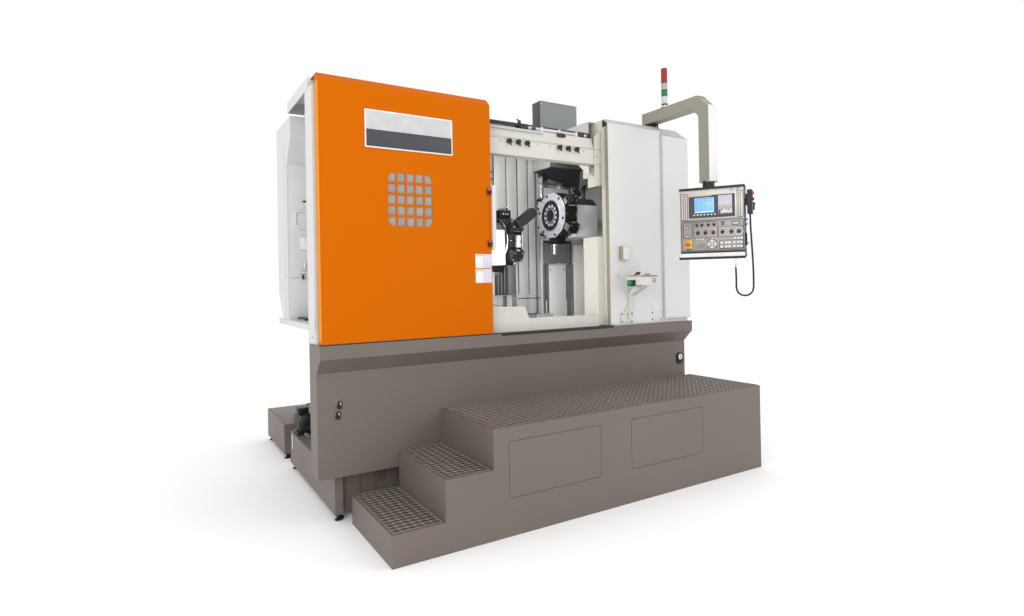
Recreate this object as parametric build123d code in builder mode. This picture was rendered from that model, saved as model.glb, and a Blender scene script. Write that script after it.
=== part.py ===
from build123d import *
import os
from math import cos, pi, radians, sin, tan

os.makedirs("parts", exist_ok=True)

# All places are read from the middle of the skirt, its front face and the floor.
# The origin of the part is the middle of the ground that the machine covers.
ground_middle_x = 33.5
ground_middle_y = 900

# Enclosure width, and the height of the deck that the enclosure stands on
machine_width = 3424
half_width = machine_width / 2
deck_height = 1214
sheet = 6
running_gap = 0.3

# Steps and platform
platform_depth = 767
lower_step_height = 189
middle_step_height = 439
platform_height = 691
platform_overhang = 67
platform_width = 2607
platform_right = half_width + platform_overhang
platform_left = platform_right - platform_width
middle_step_left = platform_left - 331
lower_step_left = middle_step_left - 335
tread_margin = 14
tread_thickness = 6
access_width = 750
access_left_edges = (platform_left + 112, platform_left + 1143)
access_bottom = 239
access_height = 362
access_middle_z = access_bottom + access_height / 2
access_seam = 3
access_thickness = 5
access_corner = 22

# Skirt under the enclosure
skirt_bottom = 326
skirt_knee = deck_height - 190
skirt_slope_top = deck_height - 90
band_overhang = 99
skirt_sheet = 14
skirt_return = 187

# Base
foot_height = 60
foot_radius = 55
bed_left = 337 - half_width
bed_right = half_width - 112
bed_front = 430
bed_neck_bottom = 346
bed_back = 1700

# Coolant tank in front of the bed and chip tank behind it
tank_clearance = 45
tank_top = 320
tank_left = 128 - half_width
tank_right = bed_right - 60
tank_front = 140
tank_side_back = 1546
tank_side_width = 190
tank_post_width = 57
tank_post_front = 89
tank_foot_inset = 45
tank_foot_radius = 26
tank_screw_radius = 12
tank_pad = 16
rear_tank_front = 1832
rear_tank_back = 2714
rear_tank_right = tank_left + 2484
channel_left = tank_left + 484
channel_right = rear_tank_right - 400
channel_margin = 40
pump_length = 250
pump_width = 130
pump_radius = 70
pump_plinth = 24
pump_neck = 40

# Enclosure
roof_top = deck_height + 1792
roof_underside = roof_top - 81
enclosure_front = 12
post_width = 60
pan_front = 40
enclosure_right_front = -56
panel_face_top = roof_top - 43
recess_wall_x = 201 - half_width
recess_front = 200
rear_cabinet_front = 700
rear_cabinet_face = 835
rear_cabinet_back = 1248
rear_cabinet_bottom = deck_height + 86
rear_cabinet_top = roof_top - 116
cabinet_ledge_bottom = rear_cabinet_top - 327
cabinet_ledge_top = rear_cabinet_top - 165
cabinet_cut_depth = 209
cabinet_cut_height = 246
tray_top = deck_height + 131
facet_height = 190
facet_side = 17
facet_back = 147
housing_depth = 480
canopy_front = 116
canopy_back = 779
back_wall_y = 1060
door_width = 0.368 * machine_width
right_cabinet_width = 0.0946 * machine_width
right_panel_width = 0.1843 * machine_width
right_cabinet_left = half_width - right_cabinet_width
opening_right = right_cabinet_left - right_panel_width
inner_wall_x = opening_right - 75
right_cabinet_front = -82
right_cabinet_bottom = deck_height + 32
cabinet_bevel = 85
jamb_back = 17
inner_wall_top = deck_height + 771
inner_wall_bend = 206
inner_wall_flare = 53
pan_top = deck_height + sheet
roof_box_left = inner_wall_x + 31
roof_box_width = 455
roof_box_front = 900
roof_box_depth = 142
roof_box_height = 400

# Sliding door
door_left = 17 - half_width
door_right = door_left + door_width
opening_left = door_right - 85
door_face_top = roof_top - 70
door_top = roof_top - 18
door_plane = -99
door_sheet = 5
door_return = 100
door_flange_back = 105
rail_height = 8
window_left = door_left + 457
window_bottom = deck_height + 789
window_width = 323
window_height = 367
window_corner = 48
window_bars = 5
bar_width = 15
handle_width = 22
handle_height = 482
handle_bottom = deck_height + 635
sign_width = 645
sign_height = 256
sign_middle_x = door_left + 623
sign_middle_z = roof_top - 353

# Header over the opening and the rail that carries the door
header_bottom = roof_top - 394
header_face_top = roof_top - 256
header_front = 38
header_top = roof_top - 161
header_slope = 34
header_back = 116
rail_bottom = roof_top - 138
rail_y = 92
rail_radius = 13
rail_bracket_width = 40
nozzle_rise = 110
nozzle_steps = (330, 415, 500, 823, 912, 1002)

# Sill and the floor of the machining space
sill_front = 10
sill_left_height = 193
sill_right_height = 97
cover_front_height = 156
cover_back_height = 236
cover_back = 960
chuck_radius = 300
chuck_height = 50
jaw_height = 40

# Twin turret heads
turret_axis_y = 620
turret_radius = 218
turret_flats = 12
turret_length = 146
turret_face = 10
drum_flange = 12
face_gap = 457
right_face_x = inner_wall_x - 58
left_face_x = right_face_x - face_gap
right_axis_z = deck_height + 1014
left_axis_z = deck_height + 751
chuck_x = (left_face_x + right_face_x) / 2 - 95
ram_width = 266
ram_height = 303
ram_bevel = 66
ram_front = 450
ram_back = 995
ram_axis_rise = 58
saddle_depth = 25
saddle_width = 320
saddle_inset = 20
saddle_below_axis = 436
saddle_above_axis = 332
guideway_width = 60
guideway_inset = 40
guideway_top = roof_top - 286
cover_offset = 138
cover_width = 398
cover_step_height = 185
cover_lap = 10
cover_thickness = 34
guard_thickness = 60
holder_width = 96
holder_length = 110
holder_seat = 75
bar_seat = 32
bar_radius = 27

# Pendant arm and control panel
pivot_x = right_cabinet_left - 2
pivot_y = 60
pivot_radius = 50
arm_size = 104
arm_bottom = roof_top + 44
arm_reach = 655
arm_tail = 62
arm_drop = arm_bottom - 640
arm_elbow = 120
tower_y = -116
tower_radius = 27
panel_width = 512
panel_height = 541
panel_depth = 120
panel_shift = 30
panel_turn = 58
panel_neck = 54
shelf_height = 32
shelf_overhang = 50
display_width = 363
display_height = 186
display_drop = 152
cable_diameter = 15


def spot(x, y, z):
    """A point given from the skirt's middle, its front face and the floor."""
    return (x - ground_middle_x, y - ground_middle_y, z)


def level(x, y, z):
    """Level plane whose first axis runs to the right."""
    return Plane(origin=spot(x, y, z))


def upright(x, y, z):
    """Upright plane facing the front: first axis right, second axis up."""
    return Plane(origin=spot(x, y, z), x_dir=(1, 0, 0), z_dir=(0, -1, 0))


def cross(x, y, z):
    """Upright plane facing right: first axis to the back, second axis up."""
    return Plane(origin=spot(x, y, z), x_dir=(0, 1, 0), z_dir=(1, 0, 0))


def block(x_range, y_range, z_range):
    """Closed box between two corners."""
    with BuildPart() as piece:
        with BuildSketch(level(x_range[0], y_range[0], z_range[0])):
            Rectangle(x_range[1] - x_range[0], y_range[1] - y_range[0], align=(Align.MIN, Align.MIN))
        extrude(amount=z_range[1] - z_range[0])
    return piece


def side_profile(points, x_range):
    """Outline in depth and height, drawn out from one x to another."""
    with BuildPart() as piece:
        with BuildSketch(cross(x_range[0], 0, 0)):
            with BuildLine():
                Polyline(*points, close=True)
            make_face()
        extrude(amount=x_range[1] - x_range[0])
    return piece


def front_profile(points, y_range):
    """Outline in width and height, drawn out from one depth to another."""
    with BuildPart() as piece:
        with BuildSketch(upright(0, y_range[0], 0)):
            with BuildLine():
                Polyline(*points, close=True)
            make_face()
        extrude(amount=y_range[0] - y_range[1])
    return piece


# Steps and platform: folded sheet boxes with a shallow recess for each tread
with BuildPart() as steps:
    for step_left, step_right, step_height in (
        (lower_step_left, middle_step_left, lower_step_height),
        (middle_step_left, platform_left, middle_step_height),
    ):
        with BuildSketch(level(step_left, -platform_depth, 0)):
            Rectangle(step_right - step_left, platform_depth, align=(Align.MIN, Align.MIN))
        extrude(amount=step_height)
        with BuildSketch(level((step_left + step_right) / 2, -platform_depth / 2, step_height)):
            Rectangle(step_right - step_left - 2 * tread_margin, platform_depth - 2 * tread_margin)
        extrude(amount=-tread_thickness, mode=Mode.SUBTRACT)

with BuildPart() as platform:
    with BuildSketch(level(platform_left, -platform_depth, 0)):
        Rectangle(platform_right - platform_left, platform_depth, align=(Align.MIN, Align.MIN))
    extrude(amount=platform_height)
    with BuildSketch(level((platform_left + platform_right) / 2, -platform_depth / 2, platform_height)):
        Rectangle(platform_width - 2 * tread_margin, platform_depth - 2 * tread_margin)
    extrude(amount=-tread_thickness, mode=Mode.SUBTRACT)
    for access_left in access_left_edges:
        access_middle_x = access_left + access_width / 2
        with BuildSketch(upright(access_middle_x, -platform_depth, access_middle_z)):
            RectangleRounded(access_width, access_height, access_corner)
        extrude(amount=-access_thickness, mode=Mode.SUBTRACT)

# Treads lie in the recesses, a little proud of the rim
with BuildPart() as step_treads:
    for tread_left, tread_right, tread_height in (
        (lower_step_left, middle_step_left, lower_step_height),
        (middle_step_left, platform_left, middle_step_height),
        (platform_left, platform_right, platform_height),
    ):
        tread_middle_x = (tread_left + tread_right) / 2
        with BuildSketch(level(tread_middle_x, -platform_depth / 2, tread_height - tread_thickness)):
            Rectangle(
                tread_right - tread_left - 2 * tread_margin - 1,
                platform_depth - 2 * tread_margin - 1,
            )
        extrude(amount=tread_thickness + 2)

with BuildPart() as access_panels:
    for access_left in access_left_edges:
        access_middle_x = access_left + access_width / 2
        with BuildSketch(upright(access_middle_x, access_thickness - platform_depth, access_middle_z)):
            RectangleRounded(
                access_width - 2 * access_seam,
                access_height - 2 * access_seam,
                access_corner - access_seam,
            )
        extrude(amount=access_thickness)

# Skirt: one bent sheet with a sloping knee and a deck band, closed by a return at each end
outer_line = [
    (0, skirt_bottom),
    (0, skirt_knee),
    (-band_overhang, skirt_slope_top),
    (-band_overhang, deck_height),
]
inner_line = [
    (skirt_return, deck_height),
    (skirt_return, deck_height - skirt_sheet),
    (skirt_sheet - band_overhang, deck_height - skirt_sheet),
    (skirt_sheet - band_overhang, skirt_slope_top + skirt_sheet / 2),
    (skirt_sheet, skirt_knee + skirt_sheet / 2),
    (skirt_sheet, skirt_bottom),
]
return_line = outer_line + [(skirt_return, deck_height), (skirt_return, skirt_bottom)]
with BuildPart() as front_skirt:
    with BuildSketch(cross(-half_width, 0, 0)):
        with BuildLine():
            Polyline(*outer_line, *inner_line, close=True)
        make_face()
    extrude(amount=machine_width)
    for return_left in (-half_width, half_width - skirt_sheet):
        with BuildSketch(cross(return_left, 0, 0)):
            with BuildLine():
                Polyline(*return_line, close=True)
            make_face()
        extrude(amount=skirt_sheet)

# Base casting, with a neck at the front that carries the skirt's deck
with BuildPart() as bed_casting:
    with BuildSketch(level(bed_left, bed_front, foot_height)):
        Rectangle(bed_right - bed_left, bed_back - bed_front, align=(Align.MIN, Align.MIN))
    extrude(amount=deck_height - foot_height)
    with BuildSketch(level(bed_left, skirt_return, bed_neck_bottom)):
        Rectangle(bed_right - bed_left, bed_front - skirt_return, align=(Align.MIN, Align.MIN))
    extrude(amount=deck_height - bed_neck_bottom)

# Coolant tank: a low tray in front of the bed and along its left side, with a front post
with BuildPart() as coolant_tank:
    with BuildSketch(level(0, 0, tank_clearance)):
        with BuildLine():
            Polyline(
                (tank_left, tank_post_front),
                (tank_left, tank_side_back),
                (tank_left + tank_side_width, tank_side_back),
                (tank_left + tank_side_width, bed_front),
                (tank_right, bed_front),
                (tank_right, tank_front),
                (tank_left + tank_post_width, tank_front),
                (tank_left + tank_post_width, tank_post_front),
                close=True,
            )
        make_face()
    extrude(amount=tank_top - tank_clearance)

# Chip tank behind, with the channel through which the chips reach it
with BuildPart() as rear_tank:
    with BuildSketch(level(tank_left, rear_tank_front, tank_clearance)):
        Rectangle(
            rear_tank_right - tank_left,
            rear_tank_back - rear_tank_front,
            align=(Align.MIN, Align.MIN),
        )
    extrude(amount=tank_top - tank_clearance)
    with BuildSketch(level(channel_left, bed_back, tank_clearance + channel_margin)):
        Rectangle(channel_right - channel_left, rear_tank_front - bed_back, align=(Align.MIN, Align.MIN))
    extrude(amount=tank_top - tank_clearance - 2 * channel_margin)

# Feet: six large pads under the bed and small screwed feet under the tanks
with BuildPart() as machine_feet:
    with BuildSketch(level((bed_left + bed_right) / 2, (bed_front + bed_back) / 2, 0)):
        with GridLocations(
            (bed_right - bed_left) / 2 - 2 * foot_radius,
            bed_back - bed_front - 4 * foot_radius,
            3,
            2,
        ):
            Circle(foot_radius)
    extrude(amount=foot_height)
    for foot_x, foot_y in (
        (tank_left + tank_foot_inset, tank_post_front + tank_foot_inset),
        (tank_left + tank_foot_inset, tank_side_back - tank_foot_inset),
        (tank_right - tank_foot_inset, tank_front + tank_foot_inset),
        (tank_left + tank_foot_inset, rear_tank_front + tank_foot_inset),
        (tank_left + tank_foot_inset, rear_tank_back - tank_foot_inset),
        (rear_tank_right - tank_foot_inset, rear_tank_front + tank_foot_inset),
        (rear_tank_right - tank_foot_inset, rear_tank_back - tank_foot_inset),
    ):
        with BuildSketch(level(foot_x, foot_y, 0)):
            Circle(tank_foot_radius)
        extrude(amount=tank_pad)
        with BuildSketch(level(foot_x, foot_y, tank_pad)):
            Circle(tank_screw_radius)
        extrude(amount=tank_clearance - tank_pad)

# Coolant pump on the side tank
pump_x = tank_left + tank_side_width / 2
pump_y = tank_side_back - pump_length / 2
pump_z = tank_top + pump_plinth + pump_neck / 4 + pump_radius
with BuildPart() as coolant_pump:
    with BuildSketch(level(pump_x, pump_y, tank_top)):
        Rectangle(pump_width, pump_width)
    extrude(amount=pump_plinth)
    with BuildSketch(level(pump_x, pump_y, tank_top + pump_plinth)):
        Rectangle(pump_width * 0.6, pump_width * 0.9)
    extrude(amount=pump_neck)
    with BuildSketch(upright(pump_x, pump_y + pump_length / 2, pump_z)):
        Circle(pump_radius)
    extrude(amount=pump_length)

# Rear housing of the column, and the box over the drive on the roof
with BuildPart() as rear_housing:
    with BuildSketch(level(recess_wall_x, back_wall_y, tray_top)):
        Rectangle(right_cabinet_left - recess_wall_x, housing_depth, align=(Align.MIN, Align.MIN))
    extrude(amount=rear_cabinet_top - tray_top)
    with BuildSketch(level(bed_left, back_wall_y, deck_height)):
        Rectangle(right_cabinet_left - bed_left, housing_depth, align=(Align.MIN, Align.MIN))
    extrude(amount=tray_top - deck_height)
    with BuildSketch(level(inner_wall_x, back_wall_y, rear_cabinet_top)):
        Rectangle(right_cabinet_left - inner_wall_x, housing_depth / 2, align=(Align.MIN, Align.MIN))
    extrude(amount=roof_top - rear_cabinet_top)

roof_box = block(
    (roof_box_left, roof_box_left + roof_box_width),
    (roof_box_front, roof_box_front + roof_box_depth),
    (roof_top, roof_top + roof_box_height),
)

# Left front: fixed panel behind the open door, with the corner post and the facet cut at its foot
with BuildPart() as left_front_panel:
    with BuildSketch(level(-half_width, enclosure_front, deck_height)):
        Rectangle(opening_left + half_width, header_front - enclosure_front, align=(Align.MIN, Align.MIN))
        Rectangle(post_width, recess_front - enclosure_front, align=(Align.MIN, Align.MIN))
    extrude(amount=roof_underside - deck_height)
    post_facet = Plane(
        origin=spot(-half_width, enclosure_front, deck_height + facet_height),
        z_dir=(-facet_back * facet_height, -facet_height * facet_side, -facet_back * facet_side),
    )
    split(bisect_by=post_facet, keep=Keep.BOTTOM)

left_side_wall = block(
    (recess_wall_x, recess_wall_x + sheet), (header_back, back_wall_y), (deck_height, roof_underside)
)

# Left rear cabinet: sloping ledge at its front, tray that reaches to the post, cut-off rear corner
left_rear_cabinet = side_profile(
    [
        (recess_front, rear_cabinet_bottom),
        (recess_front, tray_top),
        (rear_cabinet_face, tray_top),
        (rear_cabinet_face, cabinet_ledge_bottom),
        (rear_cabinet_front, cabinet_ledge_top),
        (rear_cabinet_front, rear_cabinet_top),
        (rear_cabinet_back, rear_cabinet_top),
        (rear_cabinet_back, rear_cabinet_bottom + cabinet_cut_height),
        (rear_cabinet_back - cabinet_cut_depth, rear_cabinet_bottom),
    ],
    (-half_width, recess_wall_x),
)

# Roof: a folded tray, open below, behind the open door, and the flat sheet over the machining space
with BuildPart() as roof:
    with BuildSketch(level(-half_width, canopy_front, roof_underside)):
        Rectangle(opening_left + half_width, canopy_back - canopy_front, align=(Align.MIN, Align.MIN))
    extrude(amount=roof_top - roof_underside)
    with BuildSketch(level(-half_width + sheet, canopy_front + sheet, roof_underside)):
        Rectangle(
            opening_left + half_width - 2 * sheet,
            canopy_back - canopy_front - 2 * sheet,
            align=(Align.MIN, Align.MIN),
        )
    extrude(amount=roof_top - roof_underside - sheet, mode=Mode.SUBTRACT)
    with BuildSketch(level(recess_wall_x + sheet, header_back, rear_cabinet_top - sheet)):
        Rectangle(
            inner_wall_x - recess_wall_x - sheet,
            back_wall_y - header_back,
            align=(Align.MIN, Align.MIN),
        )
    extrude(amount=sheet)

# Right front panel: one folded sheet with a bevelled top and a flange to the rear housing
right_bevel = roof_top - panel_face_top
right_front_panel = side_profile(
    [
        (enclosure_right_front, deck_height),
        (enclosure_right_front, panel_face_top),
        (enclosure_right_front + right_bevel, roof_top),
        (back_wall_y, roof_top),
        (back_wall_y, roof_top - sheet),
        (enclosure_right_front + right_bevel + sheet / 2, roof_top - sheet),
        (enclosure_right_front + sheet, panel_face_top - sheet / 2),
        (enclosure_right_front + sheet, deck_height),
    ],
    (opening_right, right_cabinet_left),
)

right_jamb = block(
    (opening_right, opening_right + sheet),
    (enclosure_right_front + sheet, jamb_back),
    (deck_height, panel_face_top - 20),
)

# Right cabinet on a set-back base, with hipped edges at the front and the right
with BuildPart() as right_cabinet:
    with BuildSketch(level(right_cabinet_left, right_cabinet_front, right_cabinet_bottom)):
        Rectangle(
            half_width - right_cabinet_left,
            rear_cabinet_back - right_cabinet_front,
            align=(Align.MIN, Align.MIN),
        )
    extrude(amount=roof_top - right_cabinet_bottom)
    chamfer(right_cabinet.faces().sort_by(Axis.Z)[-1].edges().sort_by(Axis.Y)[0], length=cabinet_bevel)
    chamfer(right_cabinet.faces().sort_by(Axis.Z)[-1].edges().sort_by(Axis.X)[-1], length=cabinet_bevel)
    with BuildSketch(level(right_cabinet_left, enclosure_right_front, deck_height)):
        Rectangle(
            half_width - right_cabinet_left - 12,
            rear_cabinet_back - enclosure_right_front - 20,
            align=(Align.MIN, Align.MIN),
        )
    extrude(amount=right_cabinet_bottom - deck_height)

# Walls inside the opening: a bent lower wall at the right, and an upper wall with a rising lower edge
flare_x = inner_wall_x + inner_wall_flare
flare_y = inner_wall_bend + 74
with BuildPart() as right_inner_walls:
    with BuildSketch(level(0, 0, pan_top)):
        with BuildLine():
            Polyline(
                (opening_right, jamb_back),
                (inner_wall_x, jamb_back),
                (inner_wall_x, inner_wall_bend),
                (flare_x, flare_y),
                (flare_x + sheet, flare_y - sheet / 2),
                (inner_wall_x + sheet, inner_wall_bend - sheet / 2),
                (inner_wall_x + sheet, jamb_back + sheet),
                (opening_right, jamb_back + sheet),
                close=True,
            )
        make_face()
    extrude(amount=inner_wall_top - pan_top)
    with BuildSketch(cross(inner_wall_x, 0, 0)):
        with BuildLine():
            Polyline(
                (header_back, roof_top - sheet),
                (header_back, header_bottom - 82),
                (header_back + 148, header_bottom + 35),
                (header_back + 500, header_bottom + 148),
                (back_wall_y - guard_thickness - 10, header_bottom + 208),
                (back_wall_y - guard_thickness - 10, roof_top - sheet),
                close=True,
            )
        make_face()
    extrude(amount=sheet)
    with BuildSketch(level(inner_wall_x, header_back, roof_top - sheet)):
        Rectangle(opening_right - inner_wall_x, back_wall_y - header_back, align=(Align.MIN, Align.MIN))
    extrude(amount=sheet)

# Floor of the machining space: flat pan with a raised sloping cover at the left
with BuildPart() as chip_pan:
    with BuildSketch(level(recess_wall_x + sheet, pan_front, deck_height)):
        Rectangle(
            right_cabinet_left - recess_wall_x - sheet,
            back_wall_y - pan_front,
            align=(Align.MIN, Align.MIN),
        )
    extrude(amount=sheet)
    with BuildSketch(cross(recess_wall_x + sheet, 0, 0)):
        with BuildLine():
            Polyline(
                (pan_front, deck_height),
                (pan_front, deck_height + cover_front_height),
                (cover_back, deck_height + cover_back_height),
                (cover_back, deck_height),
                close=True,
            )
        make_face()
    extrude(amount=chuck_x - chuck_radius - 60 - recess_wall_x - sheet)

sill_step = chuck_x - chuck_radius - 80
sill = front_profile(
    [
        (opening_left, deck_height),
        (opening_left, deck_height + sill_left_height),
        (sill_step, deck_height + sill_left_height),
        (sill_step + 40, deck_height + sill_right_height + 5),
        (sill_step + 80, deck_height + sill_right_height),
        (inner_wall_x, deck_height + sill_right_height),
        (inner_wall_x, deck_height),
    ],
    (sill_front, pan_front),
)

# Stainless guards on the back wall, between the two heads
guard_left = right_face_x - 137
guard_right = guard_left + 250
side_guard_left = guard_left - 253
side_guard_thickness = 36
guard_bottom = deck_height + 76
guard_top = rear_cabinet_top - 10
with BuildPart() as centre_guard:
    with BuildSketch(level(guard_left, back_wall_y, guard_bottom)):
        Rectangle(guard_right - guard_left, guard_thickness, align=(Align.MIN, Align.MAX))
    extrude(amount=guard_top - guard_bottom)
    with BuildSketch(level(side_guard_left, back_wall_y, guard_bottom + 183)):
        Rectangle(guard_left - side_guard_left, side_guard_thickness, align=(Align.MIN, Align.MAX))
    extrude(amount=guard_top - guard_bottom - 183)

# Telescoping covers below the heads, and the hood over the right one
cover_left_edges = (right_face_x + cover_offset, left_face_x - cover_offset - cover_width)
hood_front = 720
hood_top = rear_cabinet_top - sheet
hood_bottom = hood_top - 164
with BuildPart() as way_covers:
    for cover_left in cover_left_edges:
        for section in range(3):
            section_bottom = pan_top + 4 + section * cover_step_height
            with BuildSketch(level(cover_left + cover_lap * section, back_wall_y, section_bottom)):
                Rectangle(
                    cover_width - 2 * cover_lap * section,
                    cover_thickness - cover_lap * section,
                    align=(Align.MIN, Align.MAX),
                )
            extrude(amount=cover_step_height)
    with BuildSketch(cross(guard_right + 33, 0, 0)):
        with BuildLine():
            Polyline(
                (hood_front, hood_top - 84),
                (hood_front, hood_top),
                (back_wall_y, hood_top),
                (back_wall_y, hood_bottom),
                (hood_front + 40, hood_bottom),
                close=True,
            )
        make_face()
    extrude(amount=saddle_width + 40)

with BuildPart() as chuck:
    with BuildSketch(level(chuck_x, turret_axis_y, pan_top)):
        Circle(chuck_radius)
    extrude(amount=chuck_height)
    with BuildSketch(level(chuck_x, turret_axis_y, pan_top + chuck_height)):
        with PolarLocations(190, 3, start_angle=90):
            Rectangle(150, 56)
    extrude(amount=jaw_height)

# Header over the opening: beam with a sloping top, nozzles below its face and the door rail on top
header_beam = side_profile(
    [
        (header_front, header_bottom),
        (header_front, header_face_top),
        (header_front + header_slope, header_top),
        (header_back, header_top),
        (header_back, header_bottom + sheet),
        (header_back, header_bottom),
    ],
    (recess_wall_x + sheet, inner_wall_x),
)

with BuildPart() as coolant_nozzles:
    for nozzle_step in nozzle_steps:
        nozzle_x = opening_left + nozzle_step
        with BuildSketch(upright(nozzle_x, header_front, header_bottom + nozzle_rise)):
            Circle(13)
        extrude(amount=18)
        with BuildSketch(upright(nozzle_x, header_front - 18, header_bottom + nozzle_rise)):
            Circle(19)
        extrude(amount=12)

rail_left_end = door_left + 55
rail_right_end = inner_wall_x - 10
with BuildPart() as door_rail:
    with BuildSketch(cross(rail_left_end, rail_y, rail_bottom + rail_radius)):
        Circle(rail_radius)
    extrude(amount=rail_right_end - rail_left_end)
    for bracket_x in (
        recess_wall_x + 71,
        opening_left + rail_bracket_width / 2,
        (opening_left + inner_wall_x) / 2,
        inner_wall_x - 32,
    ):
        with BuildSketch(level(bracket_x, rail_y, header_top)):
            Rectangle(rail_bracket_width, 30)
        extrude(amount=rail_bottom - header_top + rail_radius / 2)

bottom_rail = block(
    (door_left, opening_right), (door_plane, door_plane + 22), (deck_height, deck_height + rail_height)
)

# Door: folded sheet with a bevelled top, a flange over the rail, returns and a barred window
door_bottom = deck_height + rail_height + running_gap
door_bevel = door_top - door_face_top
window_middle_x = window_left + window_width / 2
window_middle_z = window_bottom + window_height / 2
with BuildPart() as door_panel:
    with BuildSketch(cross(door_left, 0, 0)):
        with BuildLine():
            Polyline(
                (door_plane, door_bottom),
                (door_plane, door_face_top),
                (door_plane + door_bevel, door_top),
                (door_flange_back, door_top),
                (door_flange_back, door_top - door_sheet),
                (door_plane + door_bevel + door_sheet / 2, door_top - door_sheet),
                (door_plane + door_sheet, door_face_top - door_sheet / 2),
                (door_plane + door_sheet, door_bottom),
                close=True,
            )
        make_face()
    extrude(amount=door_right - door_left)
    for return_left in (door_left, door_right - door_sheet):
        with BuildSketch(cross(return_left, 0, 0)):
            with BuildLine():
                Polyline(
                    (door_plane, door_bottom),
                    (door_plane, door_face_top),
                    (door_plane + door_bevel, door_top),
                    (door_plane + door_return, door_top),
                    (door_plane + door_return, door_bottom),
                    close=True,
                )
            make_face()
        extrude(amount=door_sheet)
    with BuildSketch(upright(window_middle_x, door_plane, window_middle_z)):
        RectangleRounded(window_width, window_height, window_corner)
        bar_pitch_x = (window_width + bar_width) / window_bars
        bar_pitch_z = (window_height + bar_width) / window_bars
        with GridLocations(bar_pitch_x, 0, window_bars - 1, 1):
            Rectangle(bar_width, window_height, mode=Mode.SUBTRACT)
        with GridLocations(0, bar_pitch_z, 1, window_bars - 1):
            Rectangle(window_width, bar_width, mode=Mode.SUBTRACT)
    extrude(amount=-door_sheet, mode=Mode.SUBTRACT)
    for hanger_x in (door_left + 150, door_right - 150):
        with BuildSketch(level(hanger_x, rail_y, door_top - door_sheet)):
            Rectangle(70, 26)
        extrude(amount=-(door_top - door_sheet - rail_bottom - 2 * rail_radius - running_gap))

with BuildPart() as door_window:
    with BuildSketch(upright(window_middle_x, door_plane + door_sheet, window_middle_z)):
        Rectangle(window_width + 50, window_height + 50)
    extrude(amount=-6)

with BuildPart() as door_handle:
    with BuildSketch(upright(door_right, door_plane, handle_bottom)):
        Rectangle(handle_width, handle_height, align=(Align.MIN, Align.MIN))
    extrude(amount=-26)

with BuildPart() as sign_plate:
    with BuildSketch(upright(sign_middle_x, door_plane, sign_middle_z)):
        RectangleRounded(sign_width, sign_height, sheet)
    extrude(amount=4)


# Turret heads: the left one is the right one turned to face it
def head_span(face_x, inward, back, width):
    """Left and right end of a piece some way behind the turret's face; inward is -1 or 1."""
    near = face_x - inward * back
    far = near - inward * width
    return (min(near, far), max(near, far))


def saddle(face_x, axis_z, inward):
    """Plate that runs up and down the guideways and carries the ram."""
    return block(
        head_span(face_x, inward, turret_length + turret_face + saddle_inset, saddle_width),
        (ram_back + running_gap, ram_back + running_gap + saddle_depth),
        (axis_z - saddle_below_axis, axis_z + saddle_above_axis),
    )


def ram(face_x, axis_z, inward):
    """Ram cover with a bevelled top front edge, and the neck that carries the turret."""
    ram_left = head_span(face_x, inward, turret_length + turret_face, ram_width)[0]
    base = axis_z - ram_axis_rise - ram_height / 2
    with BuildPart() as piece:
        with BuildSketch(cross(ram_left, 0, 0)):
            with BuildLine():
                Polyline(
                    (ram_front, base),
                    (ram_front, base + ram_height),
                    (ram_front + ram_bevel, base + ram_height + ram_bevel),
                    (ram_back, base + ram_height + ram_bevel),
                    (ram_back, base),
                    close=True,
                )
            make_face()
        extrude(amount=ram_width)
    return piece


def drum(face_x, axis_z, inward):
    """Twelve-sided turret drum with a raised flange behind it."""
    with BuildPart() as piece:
        with BuildSketch(cross(face_x - inward * turret_face, turret_axis_y, axis_z)):
            RegularPolygon(turret_radius, turret_flats, rotation=15)
        extrude(amount=-inward * (turret_length - drum_flange))
        flange_x = face_x - inward * (turret_face + turret_length - drum_flange)
        with BuildSketch(cross(flange_x, turret_axis_y, axis_z)):
            Circle(turret_radius - 12)
        extrude(amount=-inward * (drum_flange - running_gap))
    return piece


def face_plate(face_x, axis_z, inward):
    """Polished face of the drum with a stepped ring, a clamping ring and a centre cap."""
    with BuildPart() as piece:
        with BuildSketch(cross(face_x - inward * turret_face, turret_axis_y, axis_z)):
            RegularPolygon(turret_radius, turret_flats, rotation=15)
        extrude(amount=inward * turret_face)
        with BuildSketch(cross(face_x, turret_axis_y, axis_z)):
            Circle(144)
            Circle(113, mode=Mode.SUBTRACT)
        extrude(amount=inward * 8)
        with BuildSketch(cross(face_x, turret_axis_y, axis_z)):
            Circle(64)
        extrude(amount=inward * 10)
    return piece


right_saddle = saddle(right_face_x, right_axis_z, -1)
right_ram = ram(right_face_x, right_axis_z, -1)
right_turret_drum = drum(right_face_x, right_axis_z, -1)
right_turret_face = face_plate(right_face_x, right_axis_z, -1)
left_saddle = saddle(left_face_x, left_axis_z, 1)
left_ram = ram(left_face_x, left_axis_z, 1)
left_turret_drum = drum(left_face_x, left_axis_z, 1)
left_turret_face = face_plate(left_face_x, left_axis_z, 1)


def station(face_x, axis_z, inward, angle, seat):
    """Plane on one flat of the drum, facing outwards; angle is counted from the top to the back."""
    flat = turret_radius * cos(radians(180 / turret_flats))
    out_y = sin(radians(angle))
    out_z = cos(radians(angle))
    point = spot(face_x - inward * seat, turret_axis_y + flat * out_y, axis_z + flat * out_z)
    return Plane(origin=point, x_dir=(1, 0, 0), z_dir=(0, out_y, out_z))


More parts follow.
